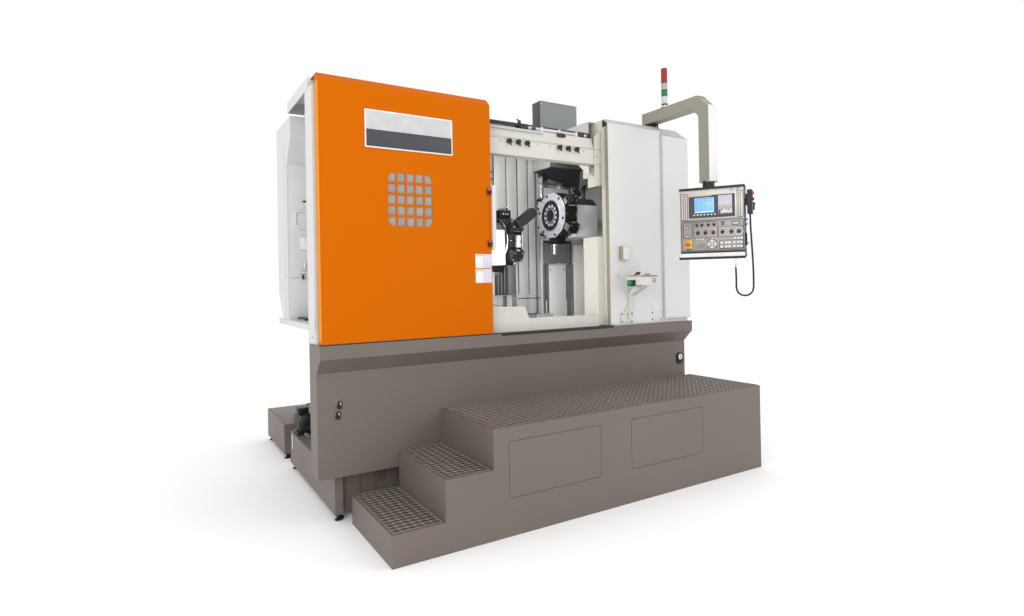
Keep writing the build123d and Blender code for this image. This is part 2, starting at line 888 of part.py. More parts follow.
# Guideways on the housing, two behind each saddle, from the telescoping cover up
guideway_front = ram_back + saddle_depth + 2 * running_gap
guideway_bottom = pan_top + 4 + 3 * cover_step_height
with BuildPart() as guideways:
    for face_x, inward in ((right_face_x, -1), (left_face_x, 1)):
        saddle_span = head_span(face_x, inward, turret_length + turret_face + saddle_inset, saddle_width)
        for way_x in (saddle_span[0] + guideway_inset, saddle_span[1] - guideway_inset):
            with BuildSketch(level(way_x, back_wall_y, guideway_bottom)):
                Rectangle(guideway_width, back_wall_y - guideway_front, align=(Align.CENTER, Align.MAX))
            extrude(amount=guideway_top - guideway_bottom)

# Right tools: a round holder and blocks on the flats, and a boring bar that points down
round_holder_radius = 41
with BuildPart() as right_tool_holders:
    for holder_angle, holder_height in ((60, 70), (120, 60), (-120, 80), (180, 62)):
        with BuildSketch(station(right_face_x, right_axis_z, -1, holder_angle, holder_seat)):
            Rectangle(holder_length, holder_width)
        extrude(amount=holder_height)
    for tilt, block_height, shank_height in ((-60, 46, 150), (60, 70, 135)):
        seat = station(right_face_x, right_axis_z, -1, tilt, holder_seat)
        with BuildSketch(seat):
            Rectangle(holder_length, holder_width)
        extrude(amount=block_height)
        with BuildSketch(seat.offset(block_height)):
            Circle(round_holder_radius)
        extrude(amount=shank_height - block_height)
    bar_plane = station(right_face_x, right_axis_z, -1, 180, bar_seat)
    with BuildSketch(bar_plane):
        Rectangle(70, 70)
    extrude(amount=62)
    with BuildSketch(bar_plane.offset(62)):
        Circle(bar_radius)
    extrude(amount=96)

# Left tools: blocks on the flats, and a long holder that leans forward past the turret's face
lean_block = 70
lean_width = 78
lean_reach = 178
lean_rise = 130
with BuildPart() as left_tool_holders:
    for holder_angle, holder_height in ((0, 74), (60, 70), (150, 70), (-120, 74)):
        with BuildSketch(station(left_face_x, left_axis_z, 1, holder_angle, holder_seat)):
            Rectangle(holder_length, holder_width)
        extrude(amount=holder_height)
    lean_seat = station(left_face_x, left_axis_z, 1, -60, holder_seat)
    with BuildSketch(lean_seat):
        Rectangle(holder_length, holder_width)
    extrude(amount=lean_block)
    lean_direction = Vector(lean_reach, 0, lean_rise)
    lean_start = lean_seat.offset(lean_block - 20).origin
    with BuildSketch(Plane(origin=lean_start, x_dir=(0, 1, 0), z_dir=lean_direction)):
        Rectangle(lean_width, lean_width - 8)
    extrude(amount=lean_direction.length)

# Operator box on a curved bracket, and a switch box above it
box_left = opening_right + 123
box_bottom = deck_height + 346
box_back = enclosure_right_front - 74
operator_box = block(
    (box_left, box_left + 195), (box_back - 170, box_back), (box_bottom, box_bottom + 80)
)
with BuildPart() as operator_bracket:
    with BuildSketch(cross(box_left + 70, 0, 0)):
        with BuildLine():
            Polyline(
                (enclosure_right_front, box_bottom - 190),
                (enclosure_right_front - 14, box_bottom - 190),
                (enclosure_right_front - 34, box_bottom - 90),
                (box_back - 110, box_bottom - 20),
                (box_back - 110, box_bottom),
                (box_back - 20, box_bottom),
                (box_back + 10, box_bottom - 40),
                (enclosure_right_front, box_bottom - 90),
                close=True,
            )
        make_face()
    extrude(amount=60)
switch_left = opening_right + 108
switch_bottom = deck_height + 566
switch_box = block(
    (switch_left, switch_left + 80),
    (enclosure_right_front - 48, enclosure_right_front),
    (switch_bottom, switch_bottom + 120),
)

# Round gauge on the skirt and the two knobs beside the left corner
with BuildPart() as skirt_fittings:
    with BuildSketch(upright(half_width - 72, 0, skirt_knee - 179)):
        Circle(40)
    extrude(amount=12)
    for knob_x, knob_z in ((142 - half_width, skirt_knee - 229), (132 - half_width, skirt_knee - 296)):
        with BuildSketch(upright(knob_x, 0, knob_z)):
            Circle(14)
        extrude(amount=20)

# Pendant arm: mitred box section on a ring
with BuildPart() as arm_pivot:
    with BuildSketch(level(pivot_x, pivot_y, roof_top)):
        Circle(pivot_radius)
    extrude(amount=arm_bottom - roof_top - running_gap)

half_arm = arm_size / 2
with BuildPart() as pendant_arm:
    with BuildSketch(cross(pivot_x - half_arm, 0, 0)):
        with BuildLine():
            Polyline(
                (pivot_y + arm_tail, arm_bottom),
                (pivot_y + arm_tail, arm_bottom + arm_size),
                (pivot_y - arm_reach - half_arm + arm_elbow, arm_bottom + arm_size),
                (pivot_y - arm_reach - half_arm, arm_bottom + arm_size - arm_elbow),
                (pivot_y - arm_reach - half_arm, arm_drop),
                (pivot_y - arm_reach + half_arm, arm_drop),
                (pivot_y - arm_reach + half_arm, arm_bottom - arm_elbow * 0.6),
                (pivot_y - arm_reach + half_arm + arm_elbow * 0.6, arm_bottom),
                close=True,
            )
        make_face()
    extrude(amount=arm_size)

with BuildPart() as light_tower:
    with BuildSketch(level(pivot_x, tower_y, arm_bottom + arm_size)):
        Circle(34)
    extrude(amount=14)
    with BuildSketch(level(pivot_x, tower_y, arm_bottom + arm_size + 14)):
        Circle(11)
    extrude(amount=60)
    with BuildSketch(level(pivot_x, tower_y, arm_bottom + arm_size + 74)):
        Circle(tower_radius)
    extrude(amount=290)

# Control panel: a case turned towards the operator, hung from the arm on a round neck
panel_top = arm_drop - panel_neck
panel_bottom = panel_top - panel_height
panel_front = panel_depth / 2
panel_side = panel_width / 2 + panel_shift
turn_sine = sin(radians(panel_turn))
turn_cosine = cos(radians(panel_turn))


def panel_point(right, out, z):
    """A point given to the right of the panel's axis, out from it and above the floor."""
    x = pivot_x + right * turn_cosine - out * turn_sine
    y = pivot_y - arm_reach - right * turn_sine - out * turn_cosine
    return spot(x, y, z)


def on_panel(right, out, z):
    """Plane that faces the operator, at a point of the panel."""
    return Plane(
        origin=panel_point(right, out, z),
        x_dir=(turn_cosine, -turn_sine, 0),
        z_dir=(-turn_sine, -turn_cosine, 0),
    )


panel_middle = panel_bottom + panel_height / 2
with BuildPart() as panel_case:
    with BuildSketch(on_panel(panel_shift, -panel_front, panel_middle)):
        Rectangle(panel_width, panel_height)
    extrude(amount=panel_depth)
    with BuildSketch(on_panel(panel_shift, -panel_front, panel_bottom - shelf_height / 2)):
        Rectangle(panel_width + 6, shelf_height)
    extrude(amount=panel_depth + shelf_overhang)
    with BuildSketch(level(pivot_x, pivot_y - arm_reach, panel_top)):
        Circle(48)
    extrude(amount=panel_neck - running_gap)

face_margin = 8
face_thickness = 3
with BuildPart() as panel_face:
    with BuildSketch(on_panel(panel_shift, panel_front, panel_middle)):
        Rectangle(panel_width - 2 * face_margin, panel_height - 2 * face_margin)
    extrude(amount=face_thickness)

with BuildPart() as display_unit:
    with BuildSketch(on_panel(panel_shift, panel_front + face_thickness, panel_top - display_drop)):
        Rectangle(display_width, display_height)
    extrude(amount=8)

# Handwheel unit on a bracket at the panel's right side
handwheel_bottom = panel_top - 229
handwheel_height = 196
handwheel_width = 40
wheel_bracket = 16
wheel_middle = panel_side + wheel_bracket + handwheel_width / 2
with BuildPart() as handwheel:
    with BuildSketch(on_panel(panel_side + wheel_bracket / 2, -30, handwheel_bottom + 120)):
        Rectangle(wheel_bracket, 90)
    extrude(amount=50)
    with BuildSketch(on_panel(wheel_middle, -38, handwheel_bottom + handwheel_height / 2)):
        RectangleRounded(handwheel_width, handwheel_height, 6)
    extrude(amount=76)
    dial_plane = Plane(
        origin=panel_point(wheel_middle + handwheel_width / 2, 0, handwheel_bottom + 62),
        x_dir=(0, 0, 1),
        z_dir=(turn_cosine, -turn_sine, 0),
    )
    with BuildSketch(dial_plane):
        Circle(32)
    extrude(amount=14)

# Cable: from the handwheel down, round a loop and up into a spring sleeve under the panel
relief_length = 90
sleeve_right = 205
loop_width = 134
loop_left = sleeve_right
loop_right = sleeve_right + loop_width
loop_bottom = panel_bottom - 353
loop_corner = loop_width / 2 * (1 - tan(radians(22.5)))
cable_route = [
    (wheel_middle, 8, handwheel_bottom),
    (wheel_middle, 8, handwheel_bottom - 82),
    (wheel_middle + 6, 7, handwheel_bottom - 202),
    (wheel_middle + 12, 4, handwheel_bottom - 327),
    (loop_right - 1, 2, loop_bottom + 228),
    (loop_right, 0, loop_bottom + 133),
    (loop_right - 1, 0, loop_bottom + loop_corner),
    (loop_right - loop_corner, -1, loop_bottom),
    (loop_left + loop_corner, 0, loop_bottom),
    (loop_left, 1, loop_bottom + loop_corner),
    (loop_left + 2, 3, loop_bottom + 128),
    (sleeve_right, 6, panel_bottom - shelf_height - relief_length),
]
route = [Vector(*panel_point(*point)) for point in cable_route]
bend_radii = []
for before, corner, after in zip(route, route[1:], route[2:]):
    turn = (corner - before).get_angle(after - corner)
    shorter = min((corner - before).length, (after - corner).length)
    bend_radii.append(0.45 * shorter / tan(radians(turn / 2)))
print("cable bend radii", [round(radius) for radius in bend_radii])
with BuildPart() as handwheel_cable:
    with BuildLine() as cable_line:
        FilletPolyline(*route, radius=bend_radii)
    start_plane = Plane(origin=route[0], z_dir=route[1] - route[0])
    with BuildSketch(start_plane):
        Circle(cable_diameter / 2)
    sweep(path=cable_line.wires()[0])
cable_length = cable_line.wires()[0].length
cable_section = pi * (cable_diameter / 2) ** 2
volume_share = handwheel_cable.part.volume / (cable_section * cable_length)
print("cable length", round(cable_length), "volume share", volume_share)

with BuildPart() as cable_sleeve:
    sleeve_top = panel_bottom - shelf_height
    sleeve_plane = Plane(origin=route[-1], z_dir=route[-1] - route[-2])
    with BuildSketch(sleeve_plane):
        Circle(9)
    with BuildSketch(Plane(origin=panel_point(sleeve_right, 6, sleeve_top))):
        Circle(12)
    loft()

pieces = {
    "steps": steps,
    "platform": platform,
    "step_treads": step_treads,
    "access_panels": access_panels,
    "front_skirt": front_skirt,
    "skirt_fittings": skirt_fittings,
    "bed_casting": bed_casting,
    "machine_feet": machine_feet,
    "coolant_tank": coolant_tank,
    "rear_chip_tank": rear_tank,
    "coolant_pump": coolant_pump,
    "rear_housing": rear_housing,
    "roof_box": roof_box,
    "left_front_panel": left_front_panel,
    "left_side_wall": left_side_wall,
    "left_rear_cabinet": left_rear_cabinet,
    "roof": roof,
    "right_front_panel": right_front_panel,
    "right_jamb": right_jamb,
    "right_cabinet": right_cabinet,
    "right_inner_walls": right_inner_walls,
    "chip_pan": chip_pan,
    "sill": sill,
    "centre_guard": centre_guard,
    "way_covers": way_covers,
    "guideways": guideways,
    "chuck": chuck,
    "header_beam": header_beam,
    "coolant_nozzles": coolant_nozzles,
    "door_rail": door_rail,
    "bottom_rail": bottom_rail,
    "operator_box": operator_box,
    "operator_bracket": operator_bracket,
    "switch_box": switch_box,
    "arm_pivot": arm_pivot,
    "door_panel": door_panel,
    "door_window": door_window,
    "door_handle": door_handle,
    "sign_plate": sign_plate,
    "right_saddle": right_saddle,
    "right_ram": right_ram,
    "right_turret_drum": right_turret_drum,
    "right_turret_face": right_turret_face,
    "right_tool_holders": right_tool_holders,
    "left_saddle": left_saddle,
    "left_ram": left_ram,
    "left_turret_drum": left_turret_drum,
    "left_turret_face": left_turret_face,
    "left_tool_holders": left_tool_holders,
    "pendant_arm": pendant_arm,
    "light_tower": light_tower,
    "panel_case": panel_case,
    "panel_face": panel_face,
    "display_unit": display_unit,
    "handwheel": handwheel,
    "handwheel_cable": handwheel_cable,
    "cable_sleeve": cable_sleeve,
}

for name, piece in pieces.items():
    piece.part.label = name
    export_step(piece.part, f"parts/{name}.step")
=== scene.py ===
import bmesh
import bpy
from itertools import product
from math import atan2, cos, pi, radians, sin
from mathutils import Matrix, Vector


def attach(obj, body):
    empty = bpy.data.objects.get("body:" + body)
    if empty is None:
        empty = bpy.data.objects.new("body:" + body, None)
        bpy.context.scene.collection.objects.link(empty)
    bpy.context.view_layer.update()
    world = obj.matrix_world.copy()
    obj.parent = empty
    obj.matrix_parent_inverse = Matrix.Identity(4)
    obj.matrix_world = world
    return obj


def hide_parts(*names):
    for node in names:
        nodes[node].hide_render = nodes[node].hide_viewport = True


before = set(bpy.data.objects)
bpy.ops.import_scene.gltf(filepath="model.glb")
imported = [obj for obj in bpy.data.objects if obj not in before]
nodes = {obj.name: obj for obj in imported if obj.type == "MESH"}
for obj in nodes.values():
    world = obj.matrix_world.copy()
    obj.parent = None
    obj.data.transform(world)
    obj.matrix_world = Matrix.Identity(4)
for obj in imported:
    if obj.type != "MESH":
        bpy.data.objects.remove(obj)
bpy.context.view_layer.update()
scene = bpy.context.scene


def placeAt(x, y, z):
    return Matrix.Translation((x, y, z))


def turnBy(angle, axis):
    return Matrix.Rotation(angle, 4, axis)


# Places are in millimetres from the middle of the skirt, its front face and the floor
machinePlace = Matrix.Scale(0.001, 4) @ Matrix.Translation((-33.5, -900, 0))

# Ways out of a surface
toFront, toBack, toLeft, toRight, upward = (0, -1, 0), (0, 1, 0), (-1, 0, 0), (1, 0, 0), (0, 0, 1)

# The control panel has a place of its own: x to its right, y into it, z above the floor
panelTurn = {"pivotX": 1386, "pivotY": 60, "reach": 655, "angle": 58}
panelPlace = (
    machinePlace
    @ placeAt(panelTurn["pivotX"], panelTurn["pivotY"] - panelTurn["reach"], 0)
    @ turnBy(-radians(panelTurn["angle"]), "Z")
)

# Camera where the photographer stood, level, with the frame pushed down a little
photoView = {"spot": (-2642.5, -3983.75, 1605), "yaw": 31.49, "pitch": 0.03, "roll": -1.02}
cameraData = bpy.data.cameras.new("photoCamera")
camera = bpy.data.objects.new("photoCamera", cameraData)
scene.collection.objects.link(camera)
cameraData.sensor_width = 36
cameraData.lens = 20.904
cameraData.shift_y = -0.0256
cameraData.clip_end = 200
camera.matrix_world = (
    Matrix.Translation(machinePlace @ Vector(photoView["spot"]))
    @ turnBy(-radians(photoView["yaw"]), "Z")
    @ turnBy(radians(90 + photoView["pitch"]), "X")
    @ turnBy(radians(photoView["roll"]), "Z")
)
scene.camera = camera


def setInputs(node, values):
    for socket, value in values.items():
        node.inputs[socket].default_value = value
    return node


def plainMaterial(name, colour, roughness, metallic=0.0):
    material = bpy.data.materials.new(name)
    material.use_nodes = True
    tree = material.node_tree
    shader = tree.nodes["Principled BSDF"]
    setInputs(shader, {"Base Color": (*colour, 1), "Roughness": roughness, "Metallic": metallic})
    return material, tree, shader


def grainOf(tree, scale, detail, stretch=(1, 1, 1)):
    where = tree.nodes.new("ShaderNodeTexCoord")
    mapping = setInputs(tree.nodes.new("ShaderNodeMapping"), {"Scale": stretch})
    noise = setInputs(tree.nodes.new("ShaderNodeTexNoise"), {"Scale": scale, "Detail": detail})
    tree.links.new(where.outputs["Object"], mapping.inputs["Vector"])
    tree.links.new(mapping.outputs["Vector"], noise.inputs["Vector"])
    return noise


# The middle of a noise, where nearly all of its values lie
noiseSpan = (0.3, 0.7)


def shadesOf(tree, shader, noise, colour, dark, light):
    ramp = tree.nodes.new("ShaderNodeValToRGB")
    for element, place, factor in zip(ramp.color_ramp.elements, noiseSpan, (dark, light)):
        element.position = place
        element.color = (*(min(1.0, channel * factor) for channel in colour), 1)
    tree.links.new(noise.outputs["Fac"], ramp.inputs["Fac"])
    tree.links.new(ramp.outputs["Color"], shader.inputs["Base Color"])


def sheenOf(tree, shader, noise, low, high):
    values = {"From Min": noiseSpan[0], "From Max": noiseSpan[1], "To Min": low, "To Max": high}
    spread = setInputs(tree.nodes.new("ShaderNodeMapRange"), values)
    tree.links.new(noise.outputs["Fac"], spread.inputs["Value"])
    tree.links.new(spread.outputs["Result"], shader.inputs["Roughness"])


def reliefOf(tree, shader, noise, strength, depth, edge):
    bump = setInputs(tree.nodes.new("ShaderNodeBump"), {"Strength": strength, "Distance": depth / 1000})
    tree.links.new(noise.outputs["Fac"], bump.inputs["Height"])
    if edge:
        soften = setInputs(tree.nodes.new("ShaderNodeBevel"), {"Radius": edge / 1000})
        soften.samples = 4
        tree.links.new(soften.outputs["Normal"], bump.inputs["Normal"])
    tree.links.new(bump.outputs["Normal"], shader.inputs["Normal"])


def enamel(name, colour, roughness=0.42, mottle=0.025, gloss=0.4, peel=0.12, edge=1.6):
    material, tree, shader = plainMaterial(name, colour, roughness)
    shader.inputs["Specular IOR Level"].default_value = gloss
    broad = grainOf(tree, 1.6, 5)
    shadesOf(tree, shader, broad, colour, 1 - mottle, 1 + mottle)
    sheenOf(tree, shader, broad, roughness - 0.05, roughness + 0.05)
    reliefOf(tree, shader, grainOf(tree, 380, 2), peel, 0.5, edge)
    return material


def brushed(name, colour, roughness, contrast, metallic, along=(1, 1, 0.012), scale=260, edge=1.0):
    material, tree, shader = plainMaterial(name, colour, roughness, metallic)
    streaks = grainOf(tree, scale, 4, along)
    shadesOf(tree, shader, streaks, colour, 1 - contrast, 1 + contrast)
    sheenOf(tree, shader, streaks, roughness - 0.06, roughness + 0.10)
    reliefOf(tree, shader, streaks, 0.10, 0.3, edge)
    return material


def moulded(name, colour, roughness=0.45, grain=1400, relief=0.1, edge=0.4):
    material, tree, shader = plainMaterial(name, colour, roughness)
    shader.inputs["Specular IOR Level"].default_value = 0.3
    shadesOf(tree, shader, grainOf(tree, 12, 4), colour, 0.93, 1.07)
    reliefOf(tree, shader, grainOf(tree, grain, 2), relief, 0.2, edge)
    return material


def glowing(name, colour, strength, roughness=0.25):
    material, tree, shader = plainMaterial(name, colour, roughness)
    shadesOf(tree, shader, grainOf(tree, 40, 2), colour, 0.92, 1.05)
    setInputs(shader, {"Emission Color": (*colour, 1), "Emission Strength": strength})
    return material


# Colour first, then what its maker takes
looks = {
    enamel: {
        "orange": ((0.520, 0.113, 0.0005), 0.46, 0.012, 0.03),
        # A lighter orange: painted light on the door's left return
        "orangeLight": ((0.72, 0.25, 0.012), 0.46, 0.012, 0.05),
        "paleOrange": ((0.62, 0.42, 0.20), 0.45, 0.012),
        "white": ((0.581, 0.590, 0.581),),
        "cream": ((0.545, 0.530, 0.480), 0.42, 0.03),
        # A brighter cream: painted light on the channel right of the covers
        "creamLight": ((0.90, 0.88, 0.81), 0.42, 0.03),
        # Darker cream: painted shade on shaded faces and folds, also used for seam lines
        "creamShade": ((0.43, 0.446, 0.380), 0.42, 0.03),
        "beige": ((0.255, 0.215, 0.155), 0.45, 0.03),
        "armBeige": ((0.265, 0.245, 0.205), 0.45, 0.02),
        # A paler copy of the arm's beige: painted light on the arm's outer faces
        "armPale": ((0.66, 0.655, 0.635), 0.42, 0.02),
        "bevelPale": ((0.42, 0.415, 0.385), 0.45, 0.02),
        "taupe": ((0.140, 0.114, 0.100), 0.50, 0.04, 0.4, 0.2),
        # Dark taupe: painted shade in the tread pits and under the skirt, also the colour of dark seams and slots
        "pit": ((0.088, 0.074, 0.062), 0.7, 0.1, 0.4, 0.3, 0),
        "strand": ((0.230, 0.196, 0.171), 0.45, 0.10, 0.4, 0.3, 0.8),
        "grey": ((0.202, 0.211, 0.219), 0.45, 0.03),
        "darkGrey": ((0.045, 0.047, 0.052), 0.45, 0.05),
        "ramGrey": ((0.74, 0.74, 0.735), 0.40, 0.02),
    },
    brushed: {
        # A paler copy of the plate: painted light on the telescoping covers
        "plate": ((0.66, 0.66, 0.645), 0.36, 0.08, 0.25),
        "plateLight": ((0.92, 0.92, 0.91), 0.36, 0.03, 0.05),
        "dimSteel": ((0.26, 0.26, 0.257), 0.36, 0.10, 0.45),
        "ground": ((0.74, 0.745, 0.75), 0.22, 0.08, 1.0, (1, 0.02, 1), 300),
        "faceSteel": ((0.60, 0.62, 0.67), 0.36, 0.06, 0.35, (1, 1, 1), 500),
        "panelPale": ((0.53, 0.495, 0.460), 0.38, 0.04, 0.45, (0.02, 0.02, 1), 420, 0.6),
        "panelSteel": ((0.295, 0.270, 0.252), 0.40, 0.05, 0.45, (0.02, 0.02, 1), 420, 0.6),
        "zinc": ((0.66, 0.66, 0.65), 0.30, 0.10, 1.0, (1, 1, 1), 900, 0.3),
    },
    moulded: {
        "black": ((0.010, 0.010, 0.010), 0.44, 500, 0.25, 1.2),
        "anodised": ((0.018, 0.018, 0.02), 0.30, 700, 0.1, 0.8),
        "plastic": ((0.016, 0.016, 0.017), 0.45, 1200, 0.2, 0.8),
        "bezel": ((0.050, 0.052, 0.062), 0.42, 1200, 0.15, 0.8),
        "bezelEdge": ((0.028, 0.028, 0.034), 0.36, 1200, 0.15, 0.8),
        "keyWhite": ((0.684, 0.684, 0.694),),
        "signWhite": ((0.484, 0.484, 0.484), 0.40, 1400, 0.05),
        "labelGrey": ((0.56, 0.56, 0.57), 0.45, 1400, 0.05),
        "labelDark": ((0.10, 0.10, 0.105), 0.45, 1400, 0.05),
        "keyLilac": ((0.56, 0.54, 0.62),),
        "keyOlive": ((0.42, 0.37, 0.26),),
        "rubber": ((0.020, 0.020, 0.021), 0.48, 1600, 0.3, 0),
        "red": ((0.74, 0.085, 0.012), 0.30, 900, 0.05, 0.6),
        "darkRed": ((0.085, 0.008, 0.008), 0.45, 900, 0.1, 0.6),
        "yellow": ((0.80, 0.56, 0.02), 0.40, 900, 0.05, 0.6),
        "green": ((0.01, 0.22, 0.08), 0.30, 900, 0.05, 0.6),
        "glass": ((0.264, 0.273, 0.255), 0.16, 60, 0.05, 0),
        "glassDim": ((0.238, 0.246, 0.233), 0.16, 60, 0.05, 0),
    },
    glowing: {
        "towerRed": ((0.26, 0.006, 0.008), 0.10, 0.5),
        "towerClear": ((0.36, 0.35, 0.33), 0.02, 0.5),
        "towerGreen": ((0.004, 0.13, 0.05), 0.10, 0.5),
        "towerWhite": ((0.52, 0.52, 0.51), 0.02, 0.5),
        "screen": ((0.17, 0.38, 0.72), 0.40),
        "screenInk": ((0.10, 0.24, 0.55), 0.45),
        "screenPale": ((0.40, 0.60, 0.86), 0.45),
    },
}
finishes = {name: maker(name, *look) for maker, members in looks.items() for name, look in members.items()}

nodeFinish = {
    "taupe": "steps platform access_panels front_skirt bed_casting coolant_tank rear_chip_tank",
    # The plate under the tread net is dark taupe, painted shade seen through the pits
    "pit": "step_treads",
    "black": "machine_feet coolant_pump skirt_fittings arm_pivot right_turret_drum left_turret_drum "
    "right_tool_holders left_tool_holders coolant_nozzles",
    "white": "rear_housing left_front_panel left_side_wall left_rear_cabinet roof right_front_panel right_cabinet "
    "door_handle",
    "cream": "right_inner_walls sill header_beam switch_box operator_box operator_bracket",
    "beige": "right_jamb",
    "grey": "roof_box right_saddle left_saddle",
    "armBeige": "pendant_arm",
    "ramGrey": "right_ram left_ram",
    "plate": "centre_guard",
    "plateLight": "way_covers",
    "dimSteel": "chip_pan chuck",
    "ground": "guideways cable_sleeve",
    "faceSteel": "right_turret_face left_turret_face",
    "anodised": "door_rail bottom_rail",
    "orange": "door_panel",
    "glass": "door_window",
    "keyWhite": "sign_plate",
    "towerRed": "light_tower",
    "plastic": "panel_case handwheel",
    "panelSteel": "panel_face",
    "bezel": "display_unit",
}
for finish, members in nodeFinish.items():
    for member in members.split():
        nodes[member].data.materials.clear()
        nodes[member].data.materials.append(finishes[finish])
print("finishes", len(finishes))


# Shapes, all in millimetres, gather in one mesh until finishPiece names it and brings it to its place
gathered = [bmesh.new()]


def added(shape, finish):
    for face in shape.faces:
        face.material_index = finish
    mesh = bpy.data.meshes.new("shape")
    shape.to_mesh(mesh)
    shape.free()
    gathered[0].from_mesh(mesh)
    bpy.data.meshes.remove(mesh)


def pointsOf(geom):
    return [item for item in geom if isinstance(item, bmesh.types.BMVert)]


def bevelled(shape, geom, offset, segments=2, affect="EDGES"):
    bmesh.ops.bevel(shape, geom=geom, offset=offset, segments=segments, profile=0.5, affect=affect, material=-1)


def facing(spot, out):
    # Place whose z points out of a surface
    return Matrix.Translation(spot) @ Vector(out).to_track_quat("Z", "Y").to_matrix().to_4x4()


def slab(low, high, soft=0.0, finish=0, turn=None, segments=2):
    shape = bmesh.new()
    bmesh.ops.create_cube(shape, size=1)
    size = [b - a for a, b in zip(low, high)]
    middle = [(a + b) / 2 for a, b in zip(low, high)]
    shape.transform(Matrix.Translation(middle) @ Matrix.Diagonal((*size, 1)))
    if soft:
        bevelled(shape, shape.edges[:], soft, segments)
    if turn:
        shape.transform(turn)
    added(shape, finish)


def rod(start, end, radius, endRadius=None, sides=32, soft=0.0, finish=0, socket=0.0, place=None):
    shape = bmesh.new()
    start, end = Vector(start), Vector(end)
    along = end - start
    final = radius if endRadius is None else endRadius
    bmesh.ops.create_cone(shape, cap_ends=True, segments=sides, radius1=radius, radius2=final, depth=along.length)
    caps = [face for face in shape.faces if len(face.verts) == sides]
    rims = list({edge for face in caps for edge in face.edges})
    if socket:
        top = [max(caps, key=lambda face: face.calc_center_median().z)]
        bmesh.ops.inset_region(shape, faces=top, thickness=final * 0.4, use_even_offset=True)
        bmesh.ops.inset_region(shape, faces=top, thickness=final * 0.02, depth=-socket, use_even_offset=True)
    if soft:
        bevelled(shape, rims, soft)
    aimed = facing((start + end) / 2, along)
    shape.transform((place @ aimed) if place else aimed)
    added(shape, finish)


def turned(outline, place, sides=48, finish=0):
    # Outline of (radius, height) pairs, spun round its own z
    shape = bmesh.new()
    points = [shape.verts.new((radius, 0, height)) for radius, height in outline]
    edges = [shape.edges.new(pair) for pair in zip(points, points[1:])]
    spun = {"cent": (0, 0, 0), "axis": upward, "angle": 2 * pi, "steps": sides, "use_merge": True}
    bmesh.ops.spin(shape, geom=points + edges, **spun)
    bmesh.ops.remove_doubles(shape, verts=shape.verts, dist=0.001)
    shape.transform(place)
    added(shape, finish)


def bent(points, across, thickness, finish=0):
    # Flat strip bent along points, drawn out by the vector across
    shape = bmesh.new()
    line = [shape.verts.new(point) for point in points]
    edges = [shape.edges.new(pair) for pair in zip(line, line[1:])]
    drawn = bmesh.ops.extrude_edge_only(shape, edges=edges)["geom"]
    bmesh.ops.translate(shape, vec=across, verts=pointsOf(drawn))
    bmesh.ops.solidify(shape, geom=shape.faces[:], thickness=thickness)
    added(shape, finish)


def plateOf(corners, across, finish=0):
    # Flat outline, drawn out by the vector across
    shape = bmesh.new()
    flat = shape.faces.new([shape.verts.new(corner) for corner in corners])
    drawn = bmesh.ops.extrude_face_region(shape, geom=[flat])["geom"]
    bmesh.ops.translate(shape, vec=across, verts=pointsOf(drawn))
    added(shape, finish)


def capScrew(spot, out, radius=5.0, height=4.0, finish=0):
    spot, out = Vector(spot), Vector(out).normalized()
    rod(spot - out, spot + out * height, radius, sides=16, soft=0.5, finish=finish, socket=height * 0.6)


def spots(*ranges):
    # Every place that the given x, y and z make together, each a number or several
    return product(*(given if isinstance(given, (tuple, list, range)) else (given,) for given in ranges))


def screws(x, y, z, out, radius, height, finish):
    for spot in spots(x, y, z):
        capScrew(spot, out, radius, height, finish)


def pins(x, y, z, along, radius, sides, soft, finish, place=None, socket=0.0):
    for spot in spots(x, y, z):
        end = [a + b for a, b in zip(spot, along)]
        rod(spot, end, radius, sides=sides, soft=soft, finish=finish, socket=socket, place=place)


def screwsAt(pairs, y, out, radius, height, finish):
    for x, z in pairs:
        capScrew((x, y, z), out, radius, height, finish)


def slabs(*rows, place=None):
    # Rows of low x y z, high x y z, soft edge, finish
    for row in rows:
        slab(row[:3], row[3:6], *row[6:], place)


def finishPiece(name, paints, body="frame", smooth=32):
    bm = gathered[0]
    gathered[0] = bmesh.new()
    bmesh.ops.remove_doubles(bm, verts=bm.verts, dist=0.0005)
    bmesh.ops.recalc_face_normals(bm, faces=bm.faces)
    bm.transform(panelPlace if body == "panel" else machinePlace)
    mesh = bpy.data.meshes.new(name)
    bm.to_mesh(mesh)
    bm.free()
    piece = bpy.data.objects.new(name, mesh)
    scene.collection.objects.link(piece)
    for paint in paints.split():
        mesh.materials.append(finishes[paint])
    mesh.shade_smooth()
    mesh.set_sharp_from_angle(angle=radians(smooth))
    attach(piece, body)
    return piece


# Handwheel cable: down from the handwheel, round a loop and up into the spring sleeve
cable = {"diameter": 15, "length": 0.973, "sleeveRight": 205, "loopWidth": 134, "loopBottom": 1462, "wheel": 322}
cornerCut = cable["loopWidth"] / 2 * (1 - sin(radians(22.5)) / cos(radians(22.5)))
loopLeft = cable["sleeveRight"]
loopRight = loopLeft + cable["loopWidth"]
cableRoute = [
    (cable["wheel"], -8, 2127),
    (cable["wheel"], -8, 2045),
    (cable["wheel"] + 6, -7, 1925),
    (cable["wheel"] + 12, -4, 1800),
    (loopRight - 1, -2, 1690),
    (loopRight, 0, 1595),
    (loopRight - 1, 0, cable["loopBottom"] + cornerCut),
    (loopRight - cornerCut, 1, cable["loopBottom"]),
    (loopLeft + cornerCut, 0, cable["loopBottom"]),
    (loopLeft, -1, cable["loopBottom"] + cornerCut),
    (loopLeft + 2, -3, 1590),
    (loopLeft, -6, 1693),
]
cableLine = bpy.data.curves.new("handwheelCord", "CURVE")
cableLine.dimensions = "3D"
cableLine.bevel_depth = cable["diameter"] / 2000
cableLine.bevel_resolution = 6
cableLine.use_fill_caps = True
spline = cableLine.splines.new("NURBS")
spline.points.add(len(cableRoute) - 1)
